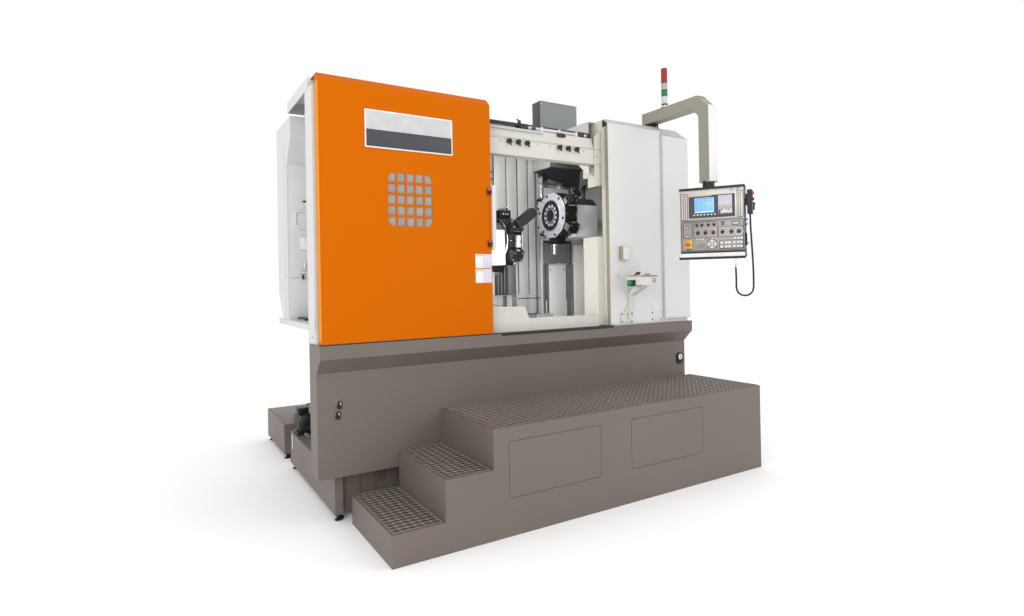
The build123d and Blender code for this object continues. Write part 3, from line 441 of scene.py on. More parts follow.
for point, spot in zip(spline.points, cableRoute):
    point.co = (*(panelPlace @ Vector(spot)), 1)
spline.order_u = 3
spline.use_endpoint_u = True
spline.resolution_u = 12
handwheelCord = bpy.data.objects.new("handwheelCord", cableLine)
scene.collection.objects.link(handwheelCord)
cableLine.materials.append(finishes["rubber"])
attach(handwheelCord, "panel")
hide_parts("handwheel_cable")
print("cable laid")

# Treads: a raised net of strands round lens-shaped pits, one cell spread over each field, with a thin rim; the pit
# floors are painted dark as painted shade
tread = {
    "cellX": 49, "cellY": 46, "pit": 0.90, "flat": 0.60, "floor": 2.3, "top": 6, "node": 2, "rim": 4,
    "inset": 18, "depth": 767,
}
treadFields = {
    "lowerTread": (-1494, -1159, 189),
    "middleTread": (-1159, -828, 439),
    "platformTread": (-828, 1779, 691),
}
for name, (left, right, base) in treadFields.items():
    low, high = (left + tread["inset"], tread["inset"] - tread["depth"]), (right - tread["inset"], -tread["inset"])
    halfX, halfY = tread["cellX"] / 2, tread["cellY"] / 2
    bm = gathered[0]
    bmesh.ops.create_grid(bm, x_segments=2, y_segments=2, size=1)
    middle = [vert for vert in bm.verts if vert.co.length < 0.1]
    corners = [vert for vert in bm.verts if vert.co.length > 1.2]
    bevelled(bm, middle, tread["pit"], affect="VERTICES")
    pit = [face for face in bm.faces if len(face.verts) > 5 or face.calc_center_median().length < 0.05]
    lens = list({vert for face in pit for vert in face.verts})
    bmesh.ops.scale(bm, vec=(1, tread["flat"], 1), verts=lens)
    bmesh.ops.translate(bm, vec=(0, 0, tread["node"]), verts=corners)
    place = placeAt(low[0], low[1], base + tread["top"]) @ Matrix.Diagonal((halfX, halfY, 1, 1))
    bmesh.ops.transform(bm, matrix=place, verts=bm.verts)
    drop = tread["floor"] - tread["top"]
    bmesh.ops.inset_region(bm, faces=pit, thickness=1.2, depth=drop, use_even_offset=True)
    for face in pit:
        face.material_index = 1
    for axis, cell in enumerate((Vector((tread["cellX"], 0, 0)), Vector((0, tread["cellY"], 0)))):
        sample = bm.verts[:] + bm.edges[:] + bm.faces[:]
        for step in range(1, int((high[axis] - low[axis]) / cell.length) + 2):
            copy = bmesh.ops.duplicate(bm, geom=sample)["geom"]
            bmesh.ops.translate(bm, vec=cell * step, verts=pointsOf(copy))
    for spot, out in (((*low, 0), toLeft), ((*high, 0), toRight), ((*low, 0), toFront), ((*high, 0), toBack)):
        every = bm.verts[:] + bm.edges[:] + bm.faces[:]
        bmesh.ops.bisect_plane(bm, geom=every, plane_co=spot, plane_no=out, clear_outer=True)
    edge, rise = tread["rim"], base + tread["top"]
    for start, end in (
        ((low[0] - edge, low[1] - edge), (low[0], high[1] + edge)),
        ((high[0], low[1] - edge), (high[0] + edge, high[1] + edge)),
        ((low[0], low[1] - edge), (high[0], low[1])),
        ((low[0], high[1]), (high[0], high[1] + edge)),
    ):
        slab((*start, base + 2.2), (*end, rise), 0.8, 0, None, 1)
    finishPiece(name, "strand pit")
print("treads laid")

# Base: a dark strip set back under the skirt as painted shadow, seams and slots of the front tank, latches of the
# access panels, screws
underSkirtShade = {"bottom": 326, "height": 16, "back": 14}
slab((-1710, underSkirtShade["back"], underSkirtShade["bottom"] - 3), (1710, underSkirtShade["back"] + 26, underSkirtShade["bottom"] + underSkirtShade["height"]), 1, 1)
for seamX in (-1394, -1284, -1112, -700, 120, 900):
    slab((seamX - 2.5, 137.6, 52), (seamX + 2.5, 141, 318), 0, 1, None, 1)
for slotX in (-1268, -1250, -1232, -1214):
    slab((slotX - 4, 137.2, 205), (slotX + 4, 141, 292), 1.5, 1)
latch = {"fields": ((-716, 34), (315, 1065)), "bottom": 239, "top": 601, "radius": 8}
for left, right in latch["fields"]:
    middle = (left + right) / 2
    for height in (latch["bottom"] + 12, latch["top"] - 12):
        rod((middle, -765, height), (middle, -766.4, height), latch["radius"], sides=24, soft=0.6, finish=0)
        slab((middle - 6, -766.7, height - 1.2), (middle + 6, -765.8, height + 1.2), 0.2, 1)
screwsAt(((-1560, 292), (-1540, 200), (-1540, 110)), 89, toFront, 6, 3, 0)
finishPiece("baseSeams", "taupe pit")

# Screwed feet of the tanks: a disc on the floor, a waisted stem and a lock nut
footSpots = ((-1539, 134), (-1539, 1501), (1395, 185), (-1539, 1877), (-1539, 2669), (855, 1877), (855, 2669))
footShape = [(0, 0.2), (24, 0.2), (25, 4), (22, 8), (10, 13), (8, 24), (10, 34), (19, 40), (20, 52), (0, 54)]
for footX, footY in footSpots:
    turned(footShape, placeAt(footX - 16, footY - 10, 0), 32, 0)
finishPiece("tankFeet", "black")

# Level slot on the tank's left side, side seams, and the folded lid rims of both tanks
slot = {"y": 1452, "low": 172, "high": 318, "width": 46}
slabs(
    (-1586, slot["y"] - slot["width"] / 2, slot["low"], -1580, slot["y"] + slot["width"] / 2, slot["high"], 2, 1),
    (-1587.5, slot["y"] - 13, slot["low"] + 12, -1583, slot["y"] + 13, slot["high"] - 12, 2, 2),
)
screws(-1586, slot["y"], (slot["low"] + 6, slot["high"] - 6), toLeft, 4, 2, 3)
slabs(
    (-1586.5, 1538, 50, -1582, 1546, 318, 0.8, 1), (-1586, 92, 312, -1580, 1546, 320.5, 1.5, 0),
    (-1586, 1834, 310, -1580, 2712, 321, 1.5, 0), (-1530, 91, 47, -1525, 139, 317, 0.6, 1),
)
screws(-1584, (1960, 2130, 2300, 2470, 2640), 290, toLeft, 5, 3, 3)
finishPiece("tankSides", "taupe pit keyWhite zinc")

# Pump motor: ribbed case, fan cover with a grid, terminal box, foot plate and hose clips
pump = {"x": -1489, "front": 1296, "back": 1546, "z": 424, "ribs": 18}
axle = facing((pump["x"], pump["front"] - 2, pump["z"]), toFront)
turned([(0, 8), (20, 8), (22, 4), (58, 4), (64, 2), (73, -6), (73, -52), (69, -58), (0, -58)], axle, 48, 0)
for ring in range(4):
    radius = 24 + ring * 10
    turned([(radius, 3), (radius + 3.5, 8), (radius + 7, 3)], axle, 48, 1)
for rib in range(pump["ribs"]):
    turn = 2 * pi * rib / pump["ribs"]
    place = placeAt(pump["x"], 0, pump["z"]) @ turnBy(turn, "Y")
    slab((-3, pump["front"] + 60, 60), (3, pump["back"] - 30, 76), 1, 0, place)
slabs(
    (pump["x"] - 60, pump["front"] + 90, 490, pump["x"] + 30, pump["front"] + 180, 536, 4, 0),
    (pump["x"] - 64, pump["front"] + 86, 532, pump["x"] + 34, pump["front"] + 184, 540, 2, 0),
    (pump["x"] - 78, pump["front"] + 40, 322, pump["x"] + 66, pump["back"] - 20, 342, 3, 0),
)
for clipY in (1250, 1185):
    turned([(9, -8), (16, -8), (16, 8), (9, 8), (9, -8)], facing((pump["x"] - 20, clipY, 340), toBack), 24, 2)
finishPiece("pumpMotor", "black bezel zinc")
print("base dressed")

# Back wall of the machining space: steel sheets with seams, hems, two dim bands near the top painted as soft
# shadow, and small screws
backWall = {"low": 1222, "top": 2882, "front": 1056, "joints": (-1500, -900, -420, -120, 120, 374, 1180, 1380)}
low, top, front = backWall["low"], backWall["top"], backWall["front"]
for left, right in zip(backWall["joints"], backWall["joints"][1:]):
    slabs(
        (left + 5, front, low, right - 5, front + 6, top, 1.2, 0),
        (right - 6, front - 1, low, right + 6, front + 4, top, 1, 3),
        (right - 40, front - 5, low, right - 9, front + 4, top, 2, 1),
        # Two dim bands near the top: painted shadow
        (left + 10, front - 4, 2600, right - 44, front + 2, 2626, 3, 1),
        (left + 10, front - 4, 2668, right - 44, front + 2, 2694, 3, 1),
    )
    screws(left + 22, front, (1400, 1800, 2200, 2600), toFront, 5, 3, 2)
finishPiece("backSheets", "plate dimSteel zinc darkGrey")

# Guard in front of it: face sheets with bright edge strips, dark seams and rows of screws; low on the left a dark
# grey sheet and dim sheets are painted shade
guard = {"face": 2876, "strips": 2874}
for left, right, front, low in (
    (234, 372, 1022.4, 1475), (376, 485, 1022.4, 1475), (489, 606, 998.4, 1292), (612, 728, 998.4, 1292)
):
    slab((left, front, low), (right, front + 3, guard["face"]), 1, 0)
for stripX, front in ((234, 1020.4), (374, 1020.4), (487, 996.4), (609, 996.4)):
    slab((stripX - 5, front, 1480), (stripX + 5, front + 4, guard["strips"]), 0.8, 4)
# The dark grey sheet low on the left, the dim sheet beside it and the dim streaks on it are painted shade for the
# deep shadowed space there
slabs(
    (692, 996.6, 1292, 716, 1001, guard["strips"], 2, 2), (729, 996.2, 2180, 737, 1001, guard["strips"], 0.8, 3),
    (240, 1018.4, 1478, 366, 1024, 1840, 2, 4), (380, 1018.4, 1478, 470, 1024, 1900, 2, 2),
)
for spotX in (258, 296, 334):
    slab((spotX, 1015.4, 1484), (spotX + 12, 1020, 1834), 2, 2)
guardScrews = (
    (609, 2537), (647, 2493), (617, 2127), (679, 2165), (613, 1919), (668, 1920), (608, 1712), (664, 1712),
    (572, 1568), (610, 1506), (672, 1542), (609, 2750), (664, 2750), (700, 1400), (530, 1400),
)
screwsAt(guardScrews, 998.6, toFront, 6, 2.4, 1)
screws((300, 430), 1022.6, (1520, 1860, 2200, 2540, 2820), toFront, 5, 2.4, 1)
slabs((480, 996.6, 1436, 742, 1000.5, 1446, 1.5, 4), (440, 1040, 1330, 520, 1056, 1470, 3, 2))
finishPiece("guardSheets", "plate zinc dimSteel keyWhite darkGrey")

# Telescoping covers: pale middle face, painted brighter than the steel as painted light, between folded bands, with
# wipers at the laps and two screws
coverShape = {"front": 1022.6, "back": 1039, "low": 1226, "top": 1778}
coverBands = (
    (-24, -2, 3, 3), (0, 34, 0, 3), (36, 66, 3, 1), (67, 75, 5, 2), (76, 106, 1, 1), (107, 322, 0, 0),
    (323, 331, 5, 2), (332, 392, 2, 1), (394, 424, 5, 1),
)
for left in (764, -367):
    for start, end, sink, finish in coverBands:
        low = (left + start, coverShape["front"] + sink, coverShape["low"])
        slab(low, (left + end, coverShape["back"], coverShape["top"]), 1.2, finish)
    screws((left + 128, left + 300), coverShape["front"], 1723, toFront, 7, 2, 2)
    slab((left + 2, 1021.8, coverShape["low"]), (left + 390, 1030, coverShape["low"] + 16), 2, 1)
finishPiece("coverFolds", "plateLight dimSteel darkGrey keyWhite")

# Hood over the right head: box with dark lips, two sloping sheets under it and cream sheets to its right
slabs(
    (690, 712, 2708, 1090, 718, 2880, 1.5, 0), (684, 706, 2768, 1094, 717, 2780, 2, 1),
    (700, 706, 2700, 1080, 717, 2712, 2, 1), (688, 716, 2712, 692, 990, 2880, 1, 2),
)
plateOf([(690, 716, 2706), (1060, 716, 2706), (1253, 990, 2566), (700, 990, 2700)], (0, 1, 5), 1)
plateOf([(1060, 716, 2706), (1110, 716, 2700), (1378, 990, 2655), (1253, 990, 2566)], (0, 1, 5), 2)
slabs(
    (1092, 718, 2700, 1380, 722, 2880, 1, 3), (1305, 716, 2430, 1380, 721, 2712, 1, 3),
    (1120, 714, 2712, 1240, 719, 2770, 2, 4),
)
screws((740, 860, 980, 1060), 712, 2740, toFront, 5, 3, 5)
finishPiece("hoodSheets", "dimSteel darkGrey plate cream creamShade zinc")

# Cream sheets beside the header, their fold lines in darker cream as painted shade, and the folded channel at the
# right of the covers, painted a brighter cream as painted light
plateOf([(676, 30, 2440), (755, 30, 2440), (755, 30, 2922), (676, 30, 2852)], (0, 4, 0), 0)
slabs(
    (674, 24, 2612, 755, 31, 2620, 1.5, 1), (674, 25, 2742, 755, 31, 2750, 1.5, 1),
    (728, 24, 2442, 735, 31, 2610, 1.5, 1), (755.2, 16, 2440, 757.4, 225, 3003, 0.5, 0),
    (755.2, 225, 2530, 757.4, 290, 3003, 0.5, 0), (754.4, 120, 2850, 756, 286, 2858, 0.4, 1),
)
capScrew((704, 30, 2680), toFront, 5, 3, 2)
# The channel is painted a brighter cream: painted light on a corner that gets little light
slabs((1192, 1001, 1228, 1332, 1054, 1985, 2, 3), (1336, 1003, 1228, 1380, 1054, 1985, 2, 3))
finishPiece("cornerSheets", "cream creamShade black creamLight")
print("inner sheets up")


# Heads: the left one is the right one turned to face it; inward is -1 for the right one
heads = {
    "right": {"face": 624, "axis": 2228, "inward": -1},
    "left": {"face": 167, "axis": 1965, "inward": 1},
}
ramShape = {"near": 156, "width": 266, "front": 450, "back": 985, "rise": 58, "height": 303, "bevel": 66}
saddleShape = {"near": 176, "width": 320, "back": 996, "below": 436, "above": 332}


def headX(head, back):
    return head["face"] - head["inward"] * back


for side, head in heads.items():
    ends = sorted((headX(head, ramShape["near"]), headX(head, ramShape["near"] + ramShape["width"])))
    base = head["axis"] - ramShape["rise"] - ramShape["height"] / 2
    top = base + ramShape["height"]
    bevel, front = ramShape["bevel"], ramShape["front"]
    slab((ends[0] + 3, front - 3, base + 4), (ends[1] - 3, front + 2, top - 5), 1.6, 0)
    fold = [(ends[0] + 2, front - 1, top + 2), (ends[0] + 2, front + bevel - 3, top + bevel - 1)]
    bent(fold, (ends[1] - ends[0] - 4, 0, 0), 2.0, 1)
    slab((ends[0] + 2, front + bevel - 1, top + bevel - 1), (ends[1] - 2, ramShape["back"], top + bevel + 2), 1, 1)
    outer = ends[1] if side == "right" else ends[0]
    step = 3 if side == "right" else -3
    slab((min(outer, outer + step), front + 8, base + 6), (max(outer, outer + step), 980, top - 6), 1.2, 0)
    screws((ends[0] + 26, ends[1] - 26), front - 3, (base + 26, top - 28), toFront, 6, 2.5, 2)
    for spotX in (ends[0] + 40, ends[1] - 40):
        place = facing((spotX, front + bevel / 2, top + bevel / 2 + 1), (0, -1, 1))
        rod((0, 0, 0), (0, 0, 3), 5, sides=16, soft=0.5, finish=2, place=place)
    finishPiece(side + "RamCover", "ramGrey darkGrey zinc", side + "_head")

    ends = sorted((headX(head, saddleShape["near"]), headX(head, saddleShape["near"] + saddleShape["width"])))
    low, high = head["axis"] - saddleShape["below"], head["axis"] + saddleShape["above"]
    slabs(
        (ends[0] + 2, 992.6, low + 2, ends[1] - 2, saddleShape["back"], low + 203, 1.5, 0),
        (ends[0] + 2, 991.4, low + 206, ends[1] - 2, saddleShape["back"], low + 226, 2, 1),
        (ends[0] + 2, 993, high - 90, ends[1] - 2, saddleShape["back"], high - 3, 1.5, 2),
    )
    screws((ends[0] + 18, ends[1] - 18), 993, (low + 20, low + 184, high - 70, high - 22), toFront, 6, 1.2, 3)
    finishPiece(side + "Apron", "grey darkRed ramGrey zinc", side + "_saddle")
print("heads covered")

# Turret discs: black clamping ring, bolt circles, centre cap and the flats between the stations
discShape = {"innerBolts": 89, "outerBolts": 195, "outerPins": 190, "middle": 620, "stations": 12}


def stationPlace(head, angle, back=75):
    # Local z runs out from the drum, local x along its axis
    spot = (headX(head, back), discShape["middle"], head["axis"])
    return Matrix.Translation(spot) @ turnBy(-radians(angle), "X")


for side, head in heads.items():
    out = (head["inward"], 0, 0)
    place = facing((head["face"], discShape["middle"], head["axis"]), out)
    for outline, sides, finish in (
        ([(113.6, 7.4), (114.4, 8.6), (142.6, 8.6), (143.4, 7.4)], 72, 1),
        ([(0, 11.2), (58, 11.2), (61.5, 9.6), (62.5, 0)], 64, 1),
        ([(62, 0.2), (62, 1.2), (108, 1.2), (108, 0.2)], 64, 1),
        ([(104, 7.2), (104, 9.0), (114, 9.0), (114, 7.2)], 72, 1),
        ([(144.6, 0.2), (145.4, 1.4), (149, 1.4), (149.6, 0.2)], 72, 2),
        ([(206.2, -158), (207.6, -156.5), (207.6, -149), (206.2, -147.5)], 72, 2),
    ):
        turned(outline, place, sides, finish)
    for index in range(discShape["stations"]):
        turn = radians(12 + 30 * index)
        bolts = [(discShape["innerBolts"], turn, 15, 7, 0), (discShape["outerPins"], turn, 5, 2, 1)]
        if index % 2:
            bolts[1] = (discShape["outerBolts"], turn + radians(6), 12, 6, 1)
        for ring, angle, radius, height, finish in bolts:
            capScrew(place @ Vector((ring * cos(angle), ring * sin(angle), 0)), out, radius, height, finish)
        flat = stationPlace(head, 30 * index)
        pins((-46, 46), 0, 208, (0, 0, 5), 6, 16, 0.8, 2, flat, 3)
        slab((-62, -1.5, 208), (62, 1.5, 212), 0.5, 1, flat)
    finishPiece(side + "Disc", "faceSteel black ground", side + "_turret")


# Tool holders: clamping block with a wedge and screws, and what it carries
def holderBlock(place, height, silver):
    slabs(
        (-56, -49, 209, 56, 49, 209 + height + 1.5, 5, 0), (-58, -30, 214, -52, 30, 206 + height, 1.5, silver),
        (52, -30, 214, 58, 30, 206 + height, 1.5, silver), (-40, -51, 218, 40, -46, 204 + height, 1.5, silver),
        place=place,
    )
    pins((-40, 40), (-33, 33), 209 + height, (0, 0, 5), 8, 20, 0.8, 1, place, 4)
    pins((-24, 0, 24), -48, 209 + height / 2, (0, -6, 0), 6, 16, 0.6, 2, place)


def roundHolder(place, bottom, top, radius):
    outline = [
        (radius - 3, bottom - 6), (radius + 5, bottom), (radius + 5, bottom + 10), (radius + 1, bottom + 14),
        (radius + 1, top - 34), (radius - 5, top - 30), (radius - 5, top - 24), (radius + 1, top - 20),
        (radius + 1, top - 4), (radius - 3, top), (radius * 0.55, top), (radius * 0.5, top - 6), (0, top - 6),
    ]
    turned(outline, place, 48, 0)
    for index in range(6):
        turn = place @ turnBy(radians(60 * index), "Z")
        slab((radius - 2, -5, top - 19), (radius + 2.5, 5, top - 5), 0.8, 1, turn)
        pins(radius - 3, 0, bottom + 30, (5.5, 0, 0), 5, 16, 0.5, 1, turn)


def turningTool(place, height, reach):
    # Square shank across the block with a clamped insert at its end
    slabs(
        (-16, -66, 206 + height, 16, 58, 232 + height, 1.5, 1),
        (-12, -66 - reach, 210 + height, 12, -60, 228 + height, 1.5, 0),
        (-13, -70 - reach, 224 + height, 11, -56 - reach, 231 + height, 1.0, 2), place=place,
    )


head = heads["right"]
for angle, height in ((120, 60), (-120, 80), (180, 62), (-60, 46), (60, 70)):
    holderBlock(stationPlace(head, angle), height, 1)
roundHolder(stationPlace(head, -60), 262, 361, 41)
roundHolder(stationPlace(head, 60), 286, 345, 41)
turningTool(stationPlace(head, 120), 62, 6)
turningTool(stationPlace(head, -120), 40, 10)
bar = stationPlace(head, 180, 32)
slab((-36, -36, 209), (36, 36, 274), 4, 0, bar)
turned([(0, 270), (31, 270), (31, 292), (28, 296), (28, 366), (24, 369), (0, 369)], bar, 40, 2)
slab((6, -29, 300), (30, -14, 362), 2, 1, bar)
for low in range(300, 360, 12):
    turned([(27.5, low), (29, low + 2), (27.5, low + 4)], bar, 40, 0)
pins((-24, 24), -37, 236, (0, -4, 0), 7, 20, 0.8, 1, bar, 3)
finishPiece("rightTools", "black zinc ground", "right_turret")

head = heads["left"]
for angle, height in ((0, 74), (60, 70), (150, 70), (-120, 74), (-60, 70)):
    holderBlock(stationPlace(head, angle), height, 0)
turningTool(stationPlace(head, 0), 76, 4)
turningTool(stationPlace(head, -120), 40, 10)
turningTool(stationPlace(head, 150), 72, 4)
lean = facing((92, 394.3, 2095.3), (178, 0, 130))
slabs(
    (-37, -41, 40, 37, 41, 218, 6, 0), (-39, -20, 150, 39, 20, 214, 2, 0), (-30, -43, 60, 30, -38, 204, 2, 0),
    place=lean,
)
pins((-18, 18), -42, (70, 104, 138, 190), (0, -4, 0), 6, 16, 0.6, 1, lean, 2.5)
slab((-44, -30, 206), (30, 30, 221), 3, 0, lean)
upright = placeAt(104, 386, 0)
spindle = [(0, 2008), (26, 2008), (29, 2004), (29, 1962), (25, 1958), (25, 1950), (29, 1946), (29, 1904), (0, 1900)]
turned(spindle, upright, 40, 2)
finishPiece("leftTools", "black zinc ground", "left_turret")
print("tools set")

# Door: pressed edges, barred window, sign plate, handle strip, clips and two bare label plates
door = {"left": -1695, "right": -435, "faceTop": 2936}
slabs(
    (door["right"] - 7, -100.6, 1226, door["right"] + 0.6, 0, door["faceTop"], 2.5, 0),
    (door["left"] - 0.6, -100.6, 1226, door["left"] + 7, 0, door["faceTop"], 2.5, 0),
    # The door's left return is painted a lighter orange: painted light on that face
    (door["left"] - 1.6, -92, 1232, door["left"] + 2, -6, door["faceTop"] - 8, 0.8, 1),
    (door["left"] + 4, -100.4, 1223.5, door["right"] - 4, -96, 1232, 1.5, 0),
)
finishPiece("doorHems", "orange orangeLight", "door")

pane = {"left": -1238, "low": 2003, "width": 323, "height": 367, "bars": 5, "bar": 15}
pitchX = (pane["width"] + pane["bar"]) / pane["bars"]
pitchZ = (pane["height"] + pane["bar"]) / pane["bars"]
for column, row in product(range(pane["bars"]), repeat=2):
    left, low = pane["left"] + column * pitchX + 1, pane["low"] + row * pitchZ + 1
    right, top = left + pitchX - pane["bar"] - 2, low + pitchZ - pane["bar"] - 2
    slab((left, -95.4, low), (right, -92.6, top), 1.2, (column + row) % 2)
finishPiece("windowPanes", "glass glassDim", "door")

sign = {"x": -1072, "z": 2653, "width": 645, "height": 256, "split": 0.52, "border": 9}
halfWidth, halfHeight = sign["width"] / 2, sign["height"] / 2
left, right = sign["x"] - halfWidth, sign["x"] + halfWidth
low, top = sign["z"] - halfHeight, sign["z"] + halfHeight
split = top - sign["height"] * sign["split"]
slab((left, -104.6, low), (right, -102.2, top), 1.2, 2)
border = sign["border"]
slabs(
    (left + border, -105.4, split, right - border, -103.4, top - border, 0.4, 0),
    (left + border, -105.4, low + border, right - border, -103.4, split, 0.4, 1),
)
screws((left + 5, right - 5), -104.4, (low + 5, top - 5), toFront, 3, 1, 3)
finishPiece("signBoard", "signWhite bezel keyWhite zinc", "door")

slabs((-436, -126, 1850, -412, -98, 2332, 4, 0), (-421, -128, 1862, -409, -110, 2320, 3, 0))
screws(-430, -126, (1870, 2312), toFront, 5, 2, 1)
finishPiece("doorGrip", "white zinc", "door")

for height in (2283, 1894):
    slabs(
        (-470, -108, height - 24, -444, -98, height + 24, 2.5, 0),
        (-462, -116, height - 13, -436, -104, height + 13, 3, 0),
    )
    capScrew((-457, -108, height + 17), toFront, 4, 2, 1)
finishPiece("doorClips", "darkRed zinc", "door")

for low, top in ((1603, 1707), (1713, 1817)):
    slabs(
        (-576, -100.4, low, -508, -98.6, top, 0.5, 0), (-506, -100.4, low, -440, -98.6, top, 0.5, 1),
        (-572, -101.0, top - 16, -512, -99.4, top - 4, 0.3, 2),
    )
finishPiece("doorLabels", "keyWhite keyLilac paleOrange", "door")

# Runners on the door's flange
for spotX in (door["left"] + 150, door["right"] - 150):
    slab((spotX - 48, 72, 2989), (spotX + 48, 112, 2995), 1.5, 0)
    screws((spotX - 32, spotX + 32), 92, 2995, upward, 6, 4, 1)
finishPiece("doorRunners", "orange zinc", "door")

# Header: folded lips, toothed trunking strip, cylinder with its bracket, tube and end stop
slabs((-1500, 34.5, 2612.5, 680, 42, 2632, 2, 0), (-1500, 34.5, 2741, 680, 42, 2751, 2, 3))
pins(range(-380, 680, 118), 39, 2722, (0, -2.6, 0), 4.5, 16, 0.5, 1)
screws((-372, -52, 210, 268, 646), 38, 2768, toFront, 5, 2.5, 2)
slope = placeAt(0, 38, 2750) @ turnBy(-atan2(34, 95), "X")
slab((-400, -2.5, 6), (300, 1, 84), 1, 0, slope)
pins((-350, -210, -70, 70, 210), -2, 40, (0, -2.5, 0), 5, 16, 0.5, 2, slope)
finishPiece("headerFolds", "cream black zinc creamShade")

slab((-396, 44, 2822), (157, 58, 2830), 1.2, 0)
for index in range(27):
    start = -392 + index * 20.4
    slab((start, 43, 2829), (start + 12, 57, 2839), 1, 0)
finishPiece("headerTrunking", "labelGrey")

slabs(
    (-430, 72, 2866, -66, 112, 2889, 4, 0), (-430, 76, 2886.4, -66, 108, 2889.3, 1, 1),
    (-66, 66, 2848, 22, 130, 2889, 3, 0), (-44, 111, 2886, -20, 129, 2926, 3, 0),
)
rod((-32, 120, 2920), (-58, 120, 2934), 6, 5, 20, 1.5, 0)
rod((22, 92, 2868), (668, 92, 2868), 15, sides=32, soft=2, finish=2)
for spotX in (150, 330, 510):
    slab((spotX, 76, 2846), (spotX + 26, 108, 2886), 3, 2)
slab((536, 70, 2846), (600, 112, 2889), 3, 0)
screws((-52, 8), 119, 2889, upward, 6, 4, 3)
finishPiece("railParts", "anodised dimSteel labelGrey zinc")

slabs((306, 52, 2816, 369, 78, 2848, 3, 0), (372, 56, 2822, 392, 76, 2842, 2, 1))
finishPiece("cornerStop", "darkRed black")

# Coolant nozzles: nut, ball seat, ball and a short tip that points down and in
for nozzleX in (-190, -105, -20, 303, 392, 482):
    pins(nozzleX, 38, 2722, (0, -12, 0), 20, 6, 1.5, 1)
    turned([(0, 0), (16, 0), (18, 4), (18, 14), (14, 19), (0, 19)], facing((nozzleX, 28, 2722), toFront), 32, 0)
    rod((nozzleX, 16, 2720), (nozzleX + 10, 9.5, 2688), 10, 6, 24, 1.2, 0, 2)
finishPiece("nozzleTips", "black darkGrey")
print("door and header dressed")

# Sill and lower walls: folds, seams and screws
sillScrews = ((-241, 1330), (-280, 1233), (-38, 1235), (61, 1226), (-400, 1330), (300, 1236), (560, 1236))
screwsAt(sillScrews, 10, toFront, 6, 2.5, 1)
slabs((-515, 8.4, 1343, -110, 12, 1347, 0.8, 0), (-24, 8.8, 1220, -21, 12, 1308, 0.6, 2))
for left, right, rise in ((-520, -112, 1407), (10, 680, 1311)):
    slab((left, 8, rise - 5), (right, 42, rise + 1), 1.5, 0)
screws(712, 17, (1292, 1490, 1720, 1940), toFront, 6, 2.5, 1)
slabs((684, 14.6, 1742, 754, 18, 1745, 0.8, 2), (692, 14.6, 1290, 695, 18, 1742, 0.8, 2))
screws(682, 50, (1397, 1478, 1766), toLeft, 6, 2.5, 1)
screws(682, 150, (1290, 1940), toLeft, 6, 2.5, 1)
slabs((680.4, 20, 1976, 690, 204, 1986, 2, 0), (684, 14.4, 1976, 756, 22, 1986, 2, 0))
finishPiece("sillFolds", "cream zinc creamShade")

# Right jamb: two folded strips of different tone and a rubber seal
slabs(
    (752, -55, 1217, 758, -20, 2936, 1.2, 0), (751.4, -18, 1217, 758, 14, 2936, 1.2, 1),
    (746, 12, 1217, 757, 20, 2936, 2, 2),
)
finishPiece("jambFolds", "beige creamShade cream")
print("opening dressed")

# Control panel: places on its face are measured from its left edge and down from its top
panelFace = {
    "left": -226, "top": 2356, "case": 63, "upper": 64, "switches": 64.4, "display": 70.8, "keys": 71.4,
    "picture": 71.6,
}


def facePoint(u, v, out=panelFace["switches"]):
    return Vector((panelFace["left"] + u, -out, panelFace["top"] - v))


def faceOn(u, v, out=panelFace["switches"]):
    return facing(facePoint(u, v, out), toFront)


def keyAt(u, v, width, height, rise, finish, soft=1.2, out=panelFace["switches"]):
    middle = facePoint(u, v, out)
    low = (middle.x - width / 2, middle.y - rise, middle.z - height / 2)
    slab(low, (middle.x + width / 2, middle.y + 0.8, middle.z + height / 2), soft, finish)


def outlineAt(start, end, width, rise, finish, corner=8, out=panelFace["switches"]):
    # Raised line round a box with rounded corners
    shape = bmesh.new()
    bmesh.ops.create_grid(shape, x_segments=1, y_segments=1, size=0.5)
    shape.transform(Matrix.Diagonal((end[0] - start[0], end[1] - start[1], 1, 1)))
    bevelled(shape, shape.verts[:], corner, 5, "VERTICES")
    inner = shape.faces[:]
    bmesh.ops.inset_region(shape, faces=inner, thickness=width, use_even_offset=True, use_boundary=True)
    bmesh.ops.delete(shape, geom=inner, context="FACES")
    drawn = bmesh.ops.extrude_face_region(shape, geom=shape.faces[:])["geom"]
    bmesh.ops.translate(shape, vec=(0, 0, rise), verts=pointsOf(drawn))
    shape.transform(faceOn((start[0] + end[0]) / 2, (start[1] + end[1]) / 2, out))
    added(shape, finish)


def knobAt(u, v, radius, rise, turn, finish, mark):
    place = faceOn(u, v, panelFace["case"]) @ turnBy(radians(turn), "Z")
    top = [(0, rise), (radius * 0.78, rise), (radius * 0.86, rise - 1.5)]
    turned([*top, (radius * 0.9, 4), (radius, 3), (radius, 0)], place, 32, finish)
    slabs(
        (-radius * 0.3, -radius * 1.25, 2, radius * 0.3, radius * 1.25, rise + 4, 1.5, finish),
        (-0.9, radius * 0.3, rise + 3, 0.9, radius * 1.2, rise + 4.6, 0.3, mark), place=place,
    )


def buttonAt(u, v, radius, rise, collar, finish):
    place = faceOn(u, v, panelFace["case"])
    turned([(radius + 3, 0), (radius + 3, 2.5), (radius + 1.5, 4), (radius, 4), (radius, 2)], place, 32, collar)
    turned([(0, rise), (radius - 2, rise), (radius - 0.5, rise - 1.5), (radius - 0.5, 1)], place, 32, finish)


